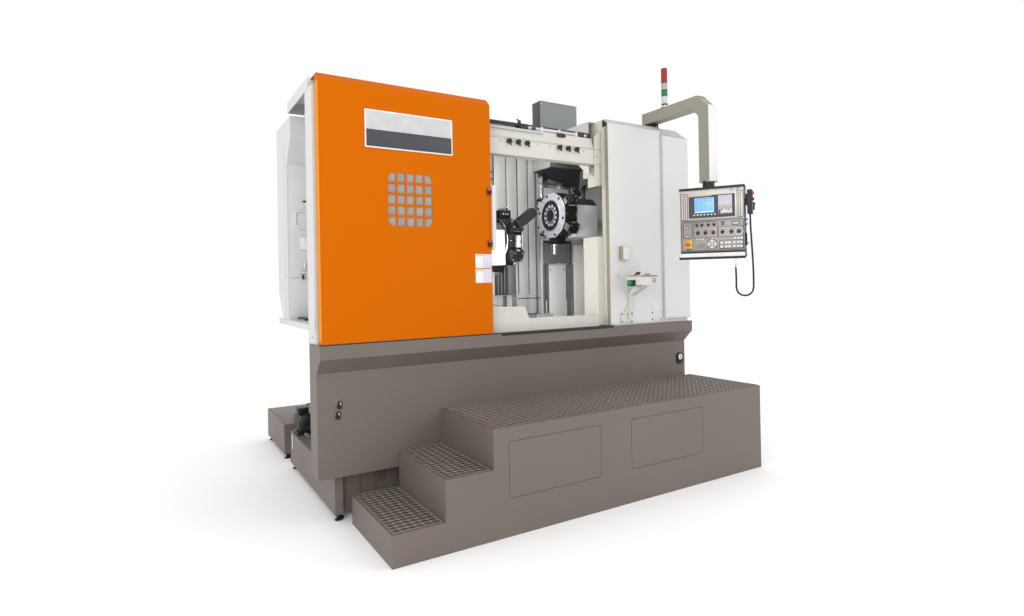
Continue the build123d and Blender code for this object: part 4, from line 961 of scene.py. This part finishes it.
# Sheet round the display, darker sheet with the switches, edges, grooves and seam lines
slabs((-222, -64.2, 2102, 280, -62.4, 2338, 1, 0), (-224, -64.6, 1833, 282, -62.4, 2098, 1, 1))
for start, end, width, rise, corner in (
    ((8, 35), (64, 258), 4, 1.0, 9), ((26, 50), (46, 246), 4, 0.9, 6), ((452, 40), (503, 252), 4, 1.0, 9),
    ((464, 56), (482, 240), 4, 0.9, 6), ((8, 266), (502, 520), 4.5, 1.2, 9), ((22, 276), (98, 412), 4, 1.0, 8),
    ((104, 276), (300, 412), 3.5, 1.0, 8), ((304, 322), (500, 412), 3.5, 1.0, 8),
    ((216, 426), (294, 506), 3, 1.0, 24), ((312, 436), (498, 508), 3, 1.0, 10),
):
    outlineAt(start, end, width, rise, 2, corner, panelFace["upper"] if end[1] < 266 else panelFace["switches"])
screws((-212, 30, 272), -63.4, (2344, 1827), toFront, 3.2, 1.6, 3)
screws((-210, 268), -64.2, (2328, 2084), toFront, 2.6, 1.2, 3)
finishPiece("panelSheets", "panelPale panelSteel bezelEdge zinc", "panel")

# Case: black lid edge and seal, white shelf front, black lower edge, hinges, hooks, back plate and collar
slabs(
    (-232, -68, 2346, 288, 20, 2366, 3, 0), (-225, -65.6, 1816, 285, -60, 1832, 2, 0),
    (-228, -111.5, 1784, 288, -62, 1816, 2.5, 1), (-230, -113, 1766, 290, -58, 1784, 2.5, 0),
    (-227, -61.5, 1834, -225, -10, 2342, 0.8, 2),
)
for spotX in (-226.4, 286.4):
    for height in (1880, 2290):
        slab((spotX - 1.6, -40, height - 32), (spotX + 1.6, -14, height + 32), 0.8, 2)
slabs((284, -46, 1870, 299, -18, 1972, 4, 0), (297, -40, 1884, 312, -24, 1892, 2, 0))
for height in (2040, 2078):
    rod((284, -36, height), (300, -36, height), 5, sides=20, soft=1, finish=0)
    rod((298, -36, height - 2), (302, -36, height + 11), 4.5, sides=20, soft=1.5, finish=0)
screws((-140, -30, 90, 200), 61, (1850, 2320), toBack, 5, 2.5, 3)
slab((-180, 58.5, 1880), (240, 62, 2290), 3, 4)
for row in range(9):
    slab((-60, 61, 1930 + 14 * row), (120, 63, 1936 + 14 * row), 1, 0)
rod((30, 0, 2362), (30, 0, 2372), 52, 46, 48, 2, 0)
for index in range(6):
    turn = pi / 3 * index
    capScrew((30 + 42 * cos(turn), 42 * sin(turn), 2370), upward, 4, 3, 3)
finishPiece("panelTrim", "plastic keyWhite labelGrey zinc white", "panel")

# Display: sloped rim, blue picture with faint rows, soft keys and the key field beside it
outlineAt((74, 60), (435, 244), 7, 2.2, 0, 5, panelFace["display"])
slab((-150, -73.4, 2290), (30, -70.6, 2297), 1, 9)
outlineAt((111, 68), (286, 210), 6, 1.6, 1, 6, panelFace["display"])
keyAt(198.5, 140, 158, 128, 1.0, 2, 0.4, panelFace["display"])
for row in range(8):
    for column, width in enumerate((34, 20, 44, 24)):
        if (row * 3 + column) % 4:
            keyAt(136 + column * 38, 89 + row * 14.5, width * 0.7, 4.2, 1.3, 3, 0.2, panelFace["picture"])
keyAt(198.5, 81, 150, 5.5, 1.3, 3, 0.2, panelFace["picture"])
keyAt(198.5, 196, 150, 9, 1.3, 4, 0.2, panelFace["picture"])
for index in range(7):
    keyAt(117 + index * 27.6, 219, 14, 11, 2.6, 5, 1.2, panelFace["display"])
keyAt(363, 142, 108, 152, 0.9, 6, 0.4, panelFace["display"])
for row in range(9):
    for column in range(6):
        paint = 6 if row < 5 else 7
        if row > 6:
            paint = 8 if (row + column) % 3 else 5
        keyAt(319 + column * 17.6, 75 + row * 16.8, 13.6, 12.6, 2.4, paint, 1.0, panelFace["keys"])
for u, v, width, height, rise in (
    (363, 206, 30, 12, 3.2), (363, 200, 12, 28, 3.4), (343, 198, 22, 10, 3.2), (383, 196, 22, 10, 3.2),
    (409, 203, 13, 20, 3.2),
):
    keyAt(u, v, width, height, rise, 5, 1.5, panelFace["keys"])
displayPaints = "bezel bezelEdge screen screenInk screenPale keyWhite keyLilac keyOlive plastic paleOrange"
finishPiece("displayFace", displayPaints, "panel")

# Switches: turning knobs with pointers, lamps, white keys and the direction cross
for spotU, turn in ((134, 20), (176, -15), (226, 15), (272, 10)):
    outlineAt((spotU - 17, 284), (spotU + 17, 322), 1.2, 0.6, 3, 7)
    knobAt(spotU, 303, 11.5, 12, turn, 0, 1)
for spotU, turn in ((142, 0), (204, -12), (265, 8), (338, 14), (408, -10), (466, -35)):
    knobAt(spotU, 368, 14.5, 15, turn, 0, 1)
    for tick in range(9):
        angle = radians(150 - tick * 37.5 + 90)
        place = faceOn(spotU, 368) @ turnBy(angle, "Z")
        slab((20.5, -0.8, 0), (24.5, 0.8, 0.8), 0.2, 3, place)
dialRing = faceOn(466, 368)
turned([(26.5, 0), (26.5, 1.6), (32, 1.6), (32, 0)], dialRing, 48, 1)
for tick in range(16):
    place = dialRing @ turnBy(2 * pi * tick / 16, "Z")
    slab((27.5, -1.1, 1.0), (31.5, 1.1, 2.2), 0.2, 0, place)
for spotV in (322, 398):
    buttonAt(60, spotV, 9, 8, 0, 2)
    keyAt(60, spotV - 20, 22, 5, 0.8, 3, 0.2)
for spotU in (412, 459):
    buttonAt(spotU, 24, 7.5, 7, 0, 2)
keyAt(342, 288, 32, 9, 2.0, 0, 1.5)
keyAt(342, 305, 26, 10, 2.6, 0, 2.5)
outlineAt((410, 286), (472, 314), 5, 3.0, 0, 8)
keyAt(441, 300, 52, 17, 1.2, 2, 0.6)
for index in range(7):
    paint = 4 if index in (3, 4) else 1
    keyAt(138 + index * 24, 420, 13, 9, 2.2, paint, 1.2)
for index in range(3):
    keyAt(432 + index * 26, 424, 19, 14, 3.0, 1, 1.8)
for columnU, count in ((330, 1), (366, 2), (428, 1), (458, 2)):
    for index in range(count):
        for spotV in (458, 490):
            keyAt(columnU + index * 24, spotV, 20, 17, 3.2, 1, 2)
            keyAt(columnU + index * 24, spotV + 13.5, 17, 3, 0.8, 3, 0.2)
for shiftU, shiftV in ((0, -26), (0, 26), (-27, 0), (27, 0)):
    keyAt(255 + shiftU, 466 + shiftV, 20, 20, 3.6, 1, 4)
turned([(0, 2.4), (8, 2.4), (9.5, 1), (9.5, 0)], faceOn(255, 466), 32, 2)
for shiftU, shiftV in ((-17, -18), (17, -18), (-17, 18), (17, 18)):
    keyAt(255 + shiftU, 466 + shiftV, 9, 9, 2, 2, 1.5)
ring = faceOn(170, 474)
turned([(20, 0), (20, 1.4), (22.5, 1.4), (22.5, 0)], ring, 8, 3)
turned([(10, 0), (10, 5), (12.5, 6), (14, 5), (14, 0)], ring, 32, 2)
slab((-3, -9, 1), (3, 9, 8), 1.2, 0, ring)
for shiftU, shiftV, paint in ((-34, 20, 5), (-30, -22, 2), (32, -24, 2), (33, 22, 5), (0, -34, 2)):
    keyAt(170 + shiftU, 474 + shiftV, 8, 8, 2.4, paint, 1.5)
finishPiece("panelSwitches", "plastic keyWhite labelGrey labelDark red green", "panel")

# Stop button on its yellow plate
keyAt(66, 462, 56, 66, 1.2, 0, 5)
keyAt(66, 505, 40, 15, 1.2, 3, 3)
stopPlace = faceOn(62, 462, 65.4)
turned([(18, 0), (18, 5), (14, 6), (12, 14), (12, 16)], stopPlace, 40, 1)
mushroom = [(0, 31), (9, 30), (15, 27.5), (19, 23.5), (20.4, 20), (19.5, 17), (12, 15)]
turned(mushroom, stopPlace, 48, 2)
finishPiece("stopButton", "yellow plastic red green", "panel", smooth=40)
print("panel face filled")

# Handwheel unit: fluted wheel with its crank, two selectors, collars of the cord
slabs((303, -36, 2140, 341, 36, 2312, 6, 0), (299, -30, 2188, 304, 30, 2290, 2, 0))
dial = facing((342, 0, 2189), toRight)
turned([(0, 13.6), (27, 13.6), (31, 11), (31.5, 3), (33.5, 2), (33.5, 0)], dial, 64, 0)
for index in range(24):
    slab((30, -1.2, 3), (32, 1.2, 11), 0.4, 0, dial @ turnBy(2 * pi * index / 24, "Z"))
turned([(33.5, 0.4), (33.5, 1.8), (36.5, 1.8), (36.5, 0.4)], dial, 64, 1)
turned([(0, 22), (5, 21), (6.5, 17), (5, 13)], dial @ placeAt(0, 19, 0), 24, 0)
for height, radius in ((2296, 11), (2248, 9)):
    selector = facing((341, 0, height), toRight)
    turned([(0, 11), (radius - 2, 11), (radius, 8), (radius, 0)], selector, 32, 2 if height > 2270 else 0)
    slab((-2.5, -radius * 1.2, 2), (2.5, radius * 1.2, 13), 1, 2 if height > 2270 else 0, selector)
rod((322, -8, 2142), (322, -8, 2128), 11, 9, 32, 1, 0)
rod((322, -8, 2312), (322, -8, 2322), 6, 4, 24, 1, 0)
finishPiece("handwheelDial", "plastic keyWhite red", "panel")

# Spring round the cord where it goes into the shelf
sleevePlace = placeAt(205, -6, 0)
turned([(8, 1783), (15, 1783), (15, 1774), (12, 1771), (12, 1766), (8, 1766)], sleevePlace, 32, 0)
for index in range(16):
    top = 1765 - 4.5 * index
    coil = [(8.2, top), (9.7, top - 0.4), (10.5, top - 1.7), (10.5, top - 2.6), (9.7, top - 3.9), (8.2, top - 4.3)]
    turned(coil, sleevePlace, 28, 0)
finishPiece("cordSpring", "ground", "panel", smooth=50)

# Arm: a paler copy of its colour on its outer faces as painted light, cap screws at the corner, collars at both
# turning joints
slabs(
    (1335.5, -650.6, 2416, 1436.5, -646, 3050, 1.5, 0), (1434.6, -640, 2416, 1440.6, -550, 3052, 1.5, 0),
    (1338, -540, 3151, 1434, 112, 3155.6, 1.5, 1),
)
pins((1352, 1420), (-470, -520), 3154, (0, 0, 5), 6, 16, 0.8, 2)
pins((1352, 1420), (-90, 30, 96), 3154, (0, 0, 5), 5, 16, 0.8, 2)
slab((1372, -1, 3144), (1400, 60, 3160), 3, 2)
rod((1386, -595, 2411), (1386, -595, 2424), 56, 52, 48, 2, 3)
rod((1386, 60, 3048), (1386, 60, 3056), 52, 52, 48, 2, 3)
finishPiece("armSheets", "armPale armPale zinc plastic", "arm")

for low, rise, radius in ((3006, 7, 74), (3013, 17, 66), (3032, 15, 68)):
    pins(1386, 60, low, (0, 0, rise), radius, 56, 1.5, 0)
for index in range(8):
    turn = 2 * pi * index / 8
    capScrew((1386 + 70 * cos(turn), 60 + 70 * sin(turn), 3013), upward, 4, 4, 1)
finishPiece("pivotCollar", "black zinc")

# Signal tower: foot, pole and four ribbed lenses of different colour between black rings
signalPlace = placeAt(1386, -116, 0)
turned([(0, 3172), (18, 3172), (30, 3169), (34.5, 3165), (34.5, 3154)], signalPlace, 48, 4)
turned([(11.4, 3160), (11.4, 3194)], signalPlace, 32, 5)
for start, end, paint in ((3196, 3264, 3), (3268, 3320, 2), (3324, 3384, 1), (3388, 3504, 0)):
    outline = [(27.3, start)]
    steps = int((end - start) / 5)
    for step in range(steps + 1):
        outline.append((28.4 if step % 2 else 27.6, start + (end - start) * step / steps))
    outline.append((27.3, end))
    turned(outline, signalPlace, 40, paint)
for height in (3194, 3266, 3322, 3386):
    turned([(27, height - 2.5), (28.8, height - 2), (28.8, height + 2), (27, height + 2.5)], signalPlace, 40, 4)
turned([(27.3, 3503), (28.2, 3506), (28.2, 3512), (27.3, 3515)], signalPlace, 40, 0)
finishPiece("signalTower", "towerRed towerClear towerGreen towerWhite plastic zinc", "arm", smooth=50)
print("arm and tower dressed")

# Right panel: pale sheets on the bevels, seams, bare plates where the signs were and screws
plateOf([(759, -56, 2965), (1386, -56, 2965), (1386, -14, 3007), (759, -14, 3007)], (0, -1, 1), 0)
plateOf([(1390, -82.5, 2923), (1686, -82.5, 2923), (1640, -1, 3006.5), (1390, -1, 3006.5)], (0, -1, 1), 0)
slabs(
    (1386, -62, 1246, 1391, -54, 2960, 1.2, 0), (760, -57.4, 2958, 1385, -54, 2966, 1.2, 1),
    (1396, -83.2, 1250, 1704, -80, 1256, 1, 0), (1250, -57.2, 1222, 1384, -55, 1404, 0.8, 1),
)
screwsAt(((1246, 1307), (1355, 1309), (1245, 1246), (1354, 1244)), -56, toFront, 7, 2.5, 2)
screws((775, 1370), -56, (1240, 2930), toFront, 5, 2, 3)
screws((1410, 1690), -82, (1270, 2080, 2900), toFront, 5, 2, 3)
slab((788, -57.2, 1622), (868, -55.4, 1700), 0.4, 4)
finishPiece("frontSheets", "bevelPale white black zinc labelGrey")

# Switch box: beige side, white lid with four screws and its switch
slabs((868, -107.5, 1784, 942, -103, 1896, 3, 0), (864, -103, 1781, 866.5, -57, 1899, 0.8, 1))
screws((876, 934), -107, (1792, 1888), toFront, 4.5, 2, 2)
slab((893, -110, 1826), (917, -106, 1854), 2, 0)
finishPiece("switchLid", "white beige zinc")

# Operator box: rim of the tray, parts lying in it, red button, green side button and a grey plate
slabs(
    (880, -300, 1630, 1075, -290, 1643, 2, 0), (880, -142, 1630, 1075, -130, 1643, 2, 3),
    (880, -290, 1630, 890, -142, 1643, 2, 3), (1065, -290, 1630, 1075, -142, 1643, 2, 0),
    (890, -290, 1638, 1065, -142, 1641, 1, 4), (978, -282, 1639, 1054, -152, 1648, 3, 5),
    (986, -270, 1646, 1020, -230, 1656, 3, 6),
)
redPlace = placeAt(930, -216, 1640)
turned([(0, 34), (12, 33), (20, 28), (22, 22), (18, 15), (11, 12), (11, 0)], redPlace, 40, 1)
turned([(24, 0), (24, 6), (14, 8), (11, 8)], redPlace, 40, 7)
slabs((944, -168, 1640, 964, -148, 1656, 3, 6), (1006, -303.5, 1578, 1052, -299, 1622, 2, 5))
for row in range(3):
    slab((1011, -304.6, 1584 + row * 13), (1047, -302, 1590 + row * 13), 0.6, 6)
screws((890, 1065), -300, 1570, toFront, 4.5, 2, 8)
slab((846, -236, 1552), (882, -170, 1604), 3, 6)
greenPlace = facing((846, -203, 1578), toLeft)
turned([(24, 0), (24, 5), (20, 7), (19, 7), (19, 15), (16, 17), (0, 17)], greenPlace, 40, 2)
finishPiece("operatorParts", "cream darkRed green beige creamShade labelGrey plastic white zinc")

# Bracket: foot plate with its screws, web and short leg
slab((862, -64, 1230), (1004, -56, 1322), 2, 0)
plateOf([(900, -57, 1318), (1002, -57, 1318), (1009, -57, 1392), (951, -57, 1392)], (0, -16, 0), 0)
slab((944, -84, 1262), (956, -57, 1380), 3, 0)
screwsAt(((876, 1310), (874, 1244), (990, 1238), (992, 1308)), -64, toFront, 7, 3, 1)
finishPiece("bracketFoot", "cream black")

# Skirt: round gauge at the right, dark strip under the opening, two knobs at the left
gaugePlace = facing((1642, 0, 872), toFront)
turned([(26, 11), (27, 15), (30, 17), (35, 17), (39, 15), (41, 11), (41, 0)], gaugePlace, 56, 0)
turned([(0, 13.4), (27, 13.4), (27, 11)], gaugePlace, 40, 1)
slab((-2, -17, 13), (2, 17, 15), 0.5, 0, gaugePlace)
slab((-362, -104.0, 1199), (745, -97.0, 1213.6), 2, 0)
for spotX, spotZ in ((-1563, 817), (-1574, 749)):
    knob = facing((spotX, 0, spotZ), toFront)
    turned([(0, 15), (10, 15), (12, 12), (12, 5), (17, 4), (17, 0)], knob, 32, 0)
    slab((-3, -11, 12), (3, 11, 18), 1.5, 2, knob)
finishPiece("skirtGauge", "plastic keyWhite zinc")
print("right panel dressed")

# Roof box: dark grey left side as painted shade, lid with a lip, vents and screws
slabs(
    (711.5, 903, 3010, 713.5, 1039, 3402, 0.8, 0), (714, 898.6, 3008, 1167, 901, 3398, 1, 1),
    (710, 897, 3398, 1171, 1045, 3408, 2, 1),
)
screws((728, 1153), 898.6, (3030, 3380), toFront, 5, 2, 2)
for row in range(10):
    slab((830, 1040, 3080 + 22 * row), (1050, 1045, 3088 + 22 * row), 1, 0)
finishPiece("roofCase", "darkGrey grey zinc")

# Left end: post with pale edges, tray with a folded channel, seams and small fittings on the cabinet
slabs((-1713.5, 14, 1220, -1711, 24, 2900, 0.8, 0), (-1713.5, 188, 1220, -1711, 198, 2900, 0.8, 0))
screws(-1712, 100, (1260, 1700, 2140, 2580, 2860), toLeft, 6, 2.5, 1)
finishPiece("postEdges", "white zinc")

slabs(
    (-1714, 206, 1300, -1711, 1240, 1340, 1, 0), (-1714.5, 208, 1338, -1711, 1240, 1345, 1, 1),
    (-1700, 640, 1345, -1604, 654, 1352, 2, 1), (-1714, 838, 1350, -1711, 846, 2556, 1, 1),
    (-1713.5, 944, 1350, -1711, 950, 2700, 1, 1), (-1713.5, 850, 1580, -1711, 1240, 1584, 1, 1),
)
screws(-1712, (870, 1225), (1370, 1980, 2520), toLeft, 6, 2.5, 2)
finishPiece("leftFolds", "white creamShade zinc")

dialPlace = facing((-1585, 835, 2240), toFront)
turned([(0, 16), (16, 16), (19, 17), (21, 14), (21, 0)], dialPlace, 40, 3)
slab((-1600, 816, 2256), (-1570, 834, 2270), 3, 0)
for bends in ((-1660, 2160), (-1640, 2186), (-1600, 2186)), ((-1636, 2056), (-1590, 2056)):
    for start, end in zip(((-1660, 2080), *bends), bends):
        rod((start[0], 822, start[1]), (end[0], 822, end[1]), 6, sides=20, soft=1, finish=1)
slabs(
    (-1630, 822, 1880, -1560, 836, 1990, 4, 3), (-1622, 818, 1890, -1568, 824, 1980, 2, 1),
    (-1640, 800, 1700, -1570, 834, 1716, 3, 3), (-1600, 806, 1716, -1584, 834, 1790, 3, 2),
)
rod((-1610, 812, 1690), (-1610, 812, 1654), 9, 6, 24, 1.5, 0)
slab((-1650, 560, 1346), (-1606, 832, 1362), 3, 0)
rod((-1706, 934, 1677), (-1713, 934, 1677), 12, sides=32, soft=1, finish=4)
pins(-1711.5, 935, range(1662, 1581, -9), (0, 0, -7), 3, 12, 0.5, 2)
finishPiece("leftFittings", "plastic keyWhite zinc labelGrey red")

# Inner face of the left opening: two doors with pulls
for low, high in ((1362, 1660), (1672, 2548)):
    slabs(
        (-1700, 829, low, -1520, 835, high, 2, 0),
        (-1534, 825, (low + high) / 2 - 40, -1526, 831, (low + high) / 2 + 40, 2, 1),
    )
finishPiece("leftDoors", "white plastic")

# Canopy edge over the door's space
slabs((-1714, 118, 2924, -524, 124, 2932, 1.5, 0), (-1714, 118, 2924, -1708, 776, 2932, 1.5, 0))
pins((-1660, -1300, -940, -580), (150, 740), 3004, (0, 0, 5), 6, 16, 0.8, 1)
finishPiece("canopyEdges", "white zinc")

# Back: sheet doors with louvres, handles and hinges, and the lifting eyes
for left, right in ((-1490, -780), (-770, -60), (-50, 660), (670, 1370)):
    slabs((left, 1537, 1380, right, 1543, 2860, 3, 0), (right - 44, 1542, 2080, right - 24, 1556, 2200, 4, 1))
    pins(left + 4, 1545, (1460, 2080, 2700), (0, 0, 80), 7, 20, 1.5, 2)
    for row in range(12):
        height = 1480 + row * 26
        slope = placeAt((left + right) / 2, 1544, height) @ turnBy(radians(28), "X")
        slab((-190, -2, -9), (190, 4, 9), 1, 0, slope)
    screws((left + 24, right - 24), 1543, (1404, 2836), toBack, 6, 3, 2)
finishPiece("backDoors", "white plastic zinc")

for spotX in (-1400, 1280):
    for spotY in (1130, 1470):
        rod((spotX, spotY, 2889), (spotX, spotY, 2902), 30, 26, 32, 2, 0)
        rod((spotX, spotY, 2902), (spotX, spotY, 2914), 14, 12, 24, 1.5, 0)
        ringPlace = placeAt(spotX, spotY, 2940) @ turnBy(pi / 2, "X")
        outline = [(20 + 8 * cos(step * pi / 6), 8 * sin(step * pi / 6)) for step in range(13)]
        turned([(radius + 8, height) for radius, height in outline], ringPlace, 40, 0)
finishPiece("liftingEyes", "zinc", smooth=50)

# Right end: cabinet doors with hinges, pulls and vents
for low, high in ((1290, 2060), (2070, 2900)):
    slabs(
        (1709, 30, low, 1714.5, 1030, high, 3, 0),
        (1713, 60, (low + high) / 2 - 60, 1726, 78, (low + high) / 2 + 60, 4, 1),
    )
    pins(1716, 1032, (low + 50, high - 130), (0, 0, 80), 7, 20, 1.5, 2)
for row in range(14):
    slab((1712, 330, 2560 + row * 20), (1716.5, 730, 2568 + row * 20), 1, 1)
finishPiece("cabinetDoors", "white plastic zinc")
print("left end, back and right end dressed")

# Bed: access plates with screws and pulls, plate with cable glands, plates at the right end
for left, right in ((-1290, -560), (-480, 250), (330, 1060)):
    slab((left, 1697, 420), (right, 1702.5, 1080), 2.5, 0)
    screws((left + 28, (left + right) / 2, right - 28), 1702.5, (448, 1052), toBack, 7, 3.5, 1)
    for shift in (-130, 130):
        place = placeAt((left + right) / 2 + shift, 1704, 980)
        pins(-46, 22, 0, (92, 0, 0), 7, 20, 1.5, 2, place)
        pins((-40, 40), 0, 0, (0, 24, 0), 7, 20, 1, 2, place)
slab((1140, 1697, 640), (1420, 1702.5, 960), 2.5, 0)
for column in range(4):
    for row in range(3):
        place = facing((1180 + column * 66, 1702, 700 + row * 90), toBack)
        turned([(21, 0), (21, 9), (17, 12), (17, 24), (12, 28), (0, 28)], place, 32, 2)
for low, high in ((430, 760), (780, 1100)):
    slab((1597, 620, low), (1602.5, 1560, high), 2.5, 0)
    screws(1602.5, (650, 1090, 1530), (low + 28, high - 28), toRight, 7, 3.5, 1)
finishPiece("bedPlates", "taupe zinc plastic")

# Rear tank: lift-out covers with pulls, level window and drain
for left, right in ((-1560, -760), (-740, 60), (80, 880)):
    slab((left, 1860, 318), (right, 2690, 323.5), 2, 0)
    for spotY in (1980, 2570):
        place = placeAt((left + right) / 2, spotY, 323)
        pins(-60, 0, 24, (120, 0, 0), 6, 20, 1.5, 1, place)
        pins((-54, 54), 0, 0, (0, 0, 26), 6, 20, 1, 1, place)
    pins((left + 20, right - 20), (1882, 2668), 323, (0, 0, 4), 7, 16, 1, 2)
slabs((878, 2330, 110, 884, 2360, 270, 2, 1), (882, 2335, 120, 885.5, 2355, 260, 1, 3))
drain = facing((878, 2560, 100), toRight)
turned([(24, 0), (24, 10), (18, 14), (18, 26), (0, 26)], drain, 32, 2)
finishPiece("rearTankParts", "taupe plastic zinc glassDim")

# Roof of the rear housing: folded seams and a vent plate
for spotX in (-780, -60, 660):
    slab((spotX - 8, 1064, 2888), (spotX + 8, 1536, 2896), 2, 0)
slab((-500, 1180, 2888), (-200, 1420, 2898), 3, 0)
for row in range(8):
    slab((-480, 1200 + 26 * row, 2896), (-220, 1210 + 26 * row, 2900), 1, 1)
finishPiece("roofSeams", "white labelDark")
print("bed and rear tank dressed")


# Pale floor that rises far behind, soft daylight all round, two large soft lamps and two small ones inside
studio = {
    "width": 44, "floor": -0.001, "front": -16, "back": 17, "rise": 9, "bend": 5, "turn": 31.5,
    "daylight": 1.12,
}
side, bend, floor = -studio["width"] / 2, studio["bend"], studio["floor"]
profile = [(side, studio["front"], floor)]
for step in range(13):
    turn = pi / 2 * step / 12
    profile.append((side, studio["back"] - bend + bend * sin(turn), floor + bend * (1 - cos(turn))))
profile.append((side, studio["back"], bend + studio["rise"]))
stageMesh = bmesh.new()
line = [stageMesh.verts.new(point) for point in profile]
stageEdges = [stageMesh.edges.new(pair) for pair in zip(line, line[1:])]
drawn = bmesh.ops.extrude_edge_only(stageMesh, edges=stageEdges)["geom"]
bmesh.ops.translate(stageMesh, vec=(studio["width"], 0, 0), verts=pointsOf(drawn))
stageMesh.transform(turnBy(-radians(studio["turn"]), "Z"))
floorMesh = bpy.data.meshes.new("studioFloor")
stageMesh.to_mesh(floorMesh)
stageMesh.free()
floorMesh.shade_smooth()
studioFloor = bpy.data.objects.new("studioFloor", floorMesh)
scene.collection.objects.link(studioFloor)
floorMesh.materials.append(plainMaterial("studioFloorPaint", (0.93, 0.93, 0.93), 0.75)[0])

world = bpy.data.worlds.new("studioLight")
world.use_nodes = True
setInputs(world.node_tree.nodes["Background"], {"Color": (1, 1, 1, 1), "Strength": studio["daylight"]})
scene.world = world

lamps = {
    "keyLamp": {"spot": (-5200, -5200, 3400), "look": (-200, 300, 1300), "size": 4.0, "power": 150},
    "fillLamp": {"spot": (4200, -5200, 3600), "look": (200, 300, 1400), "size": 4.0, "power": 70},
    "workLamp": {"spot": (150, 270, 2800), "look": (620, 1000, 1500), "size": 0.24, "power": 5},
    "sideLamp": {"spot": (-400, 110, 1660), "look": (960, 1000, 1540), "size": 0.36, "power": 9.5},
}
for name, lamp in lamps.items():
    data = bpy.data.lights.new(name, "AREA")
    data.shape = "DISK"
    data.size = lamp["size"]
    data.energy = lamp["power"]
    light = bpy.data.objects.new(name, data)
    scene.collection.objects.link(light)
    spot, look = machinePlace @ Vector(lamp["spot"]), machinePlace @ Vector(lamp["look"])
    light.matrix_world = facing(spot, spot - look)
scene.view_settings.view_transform = "Standard"
print("studio lit")

bpy.context.view_layer.update()
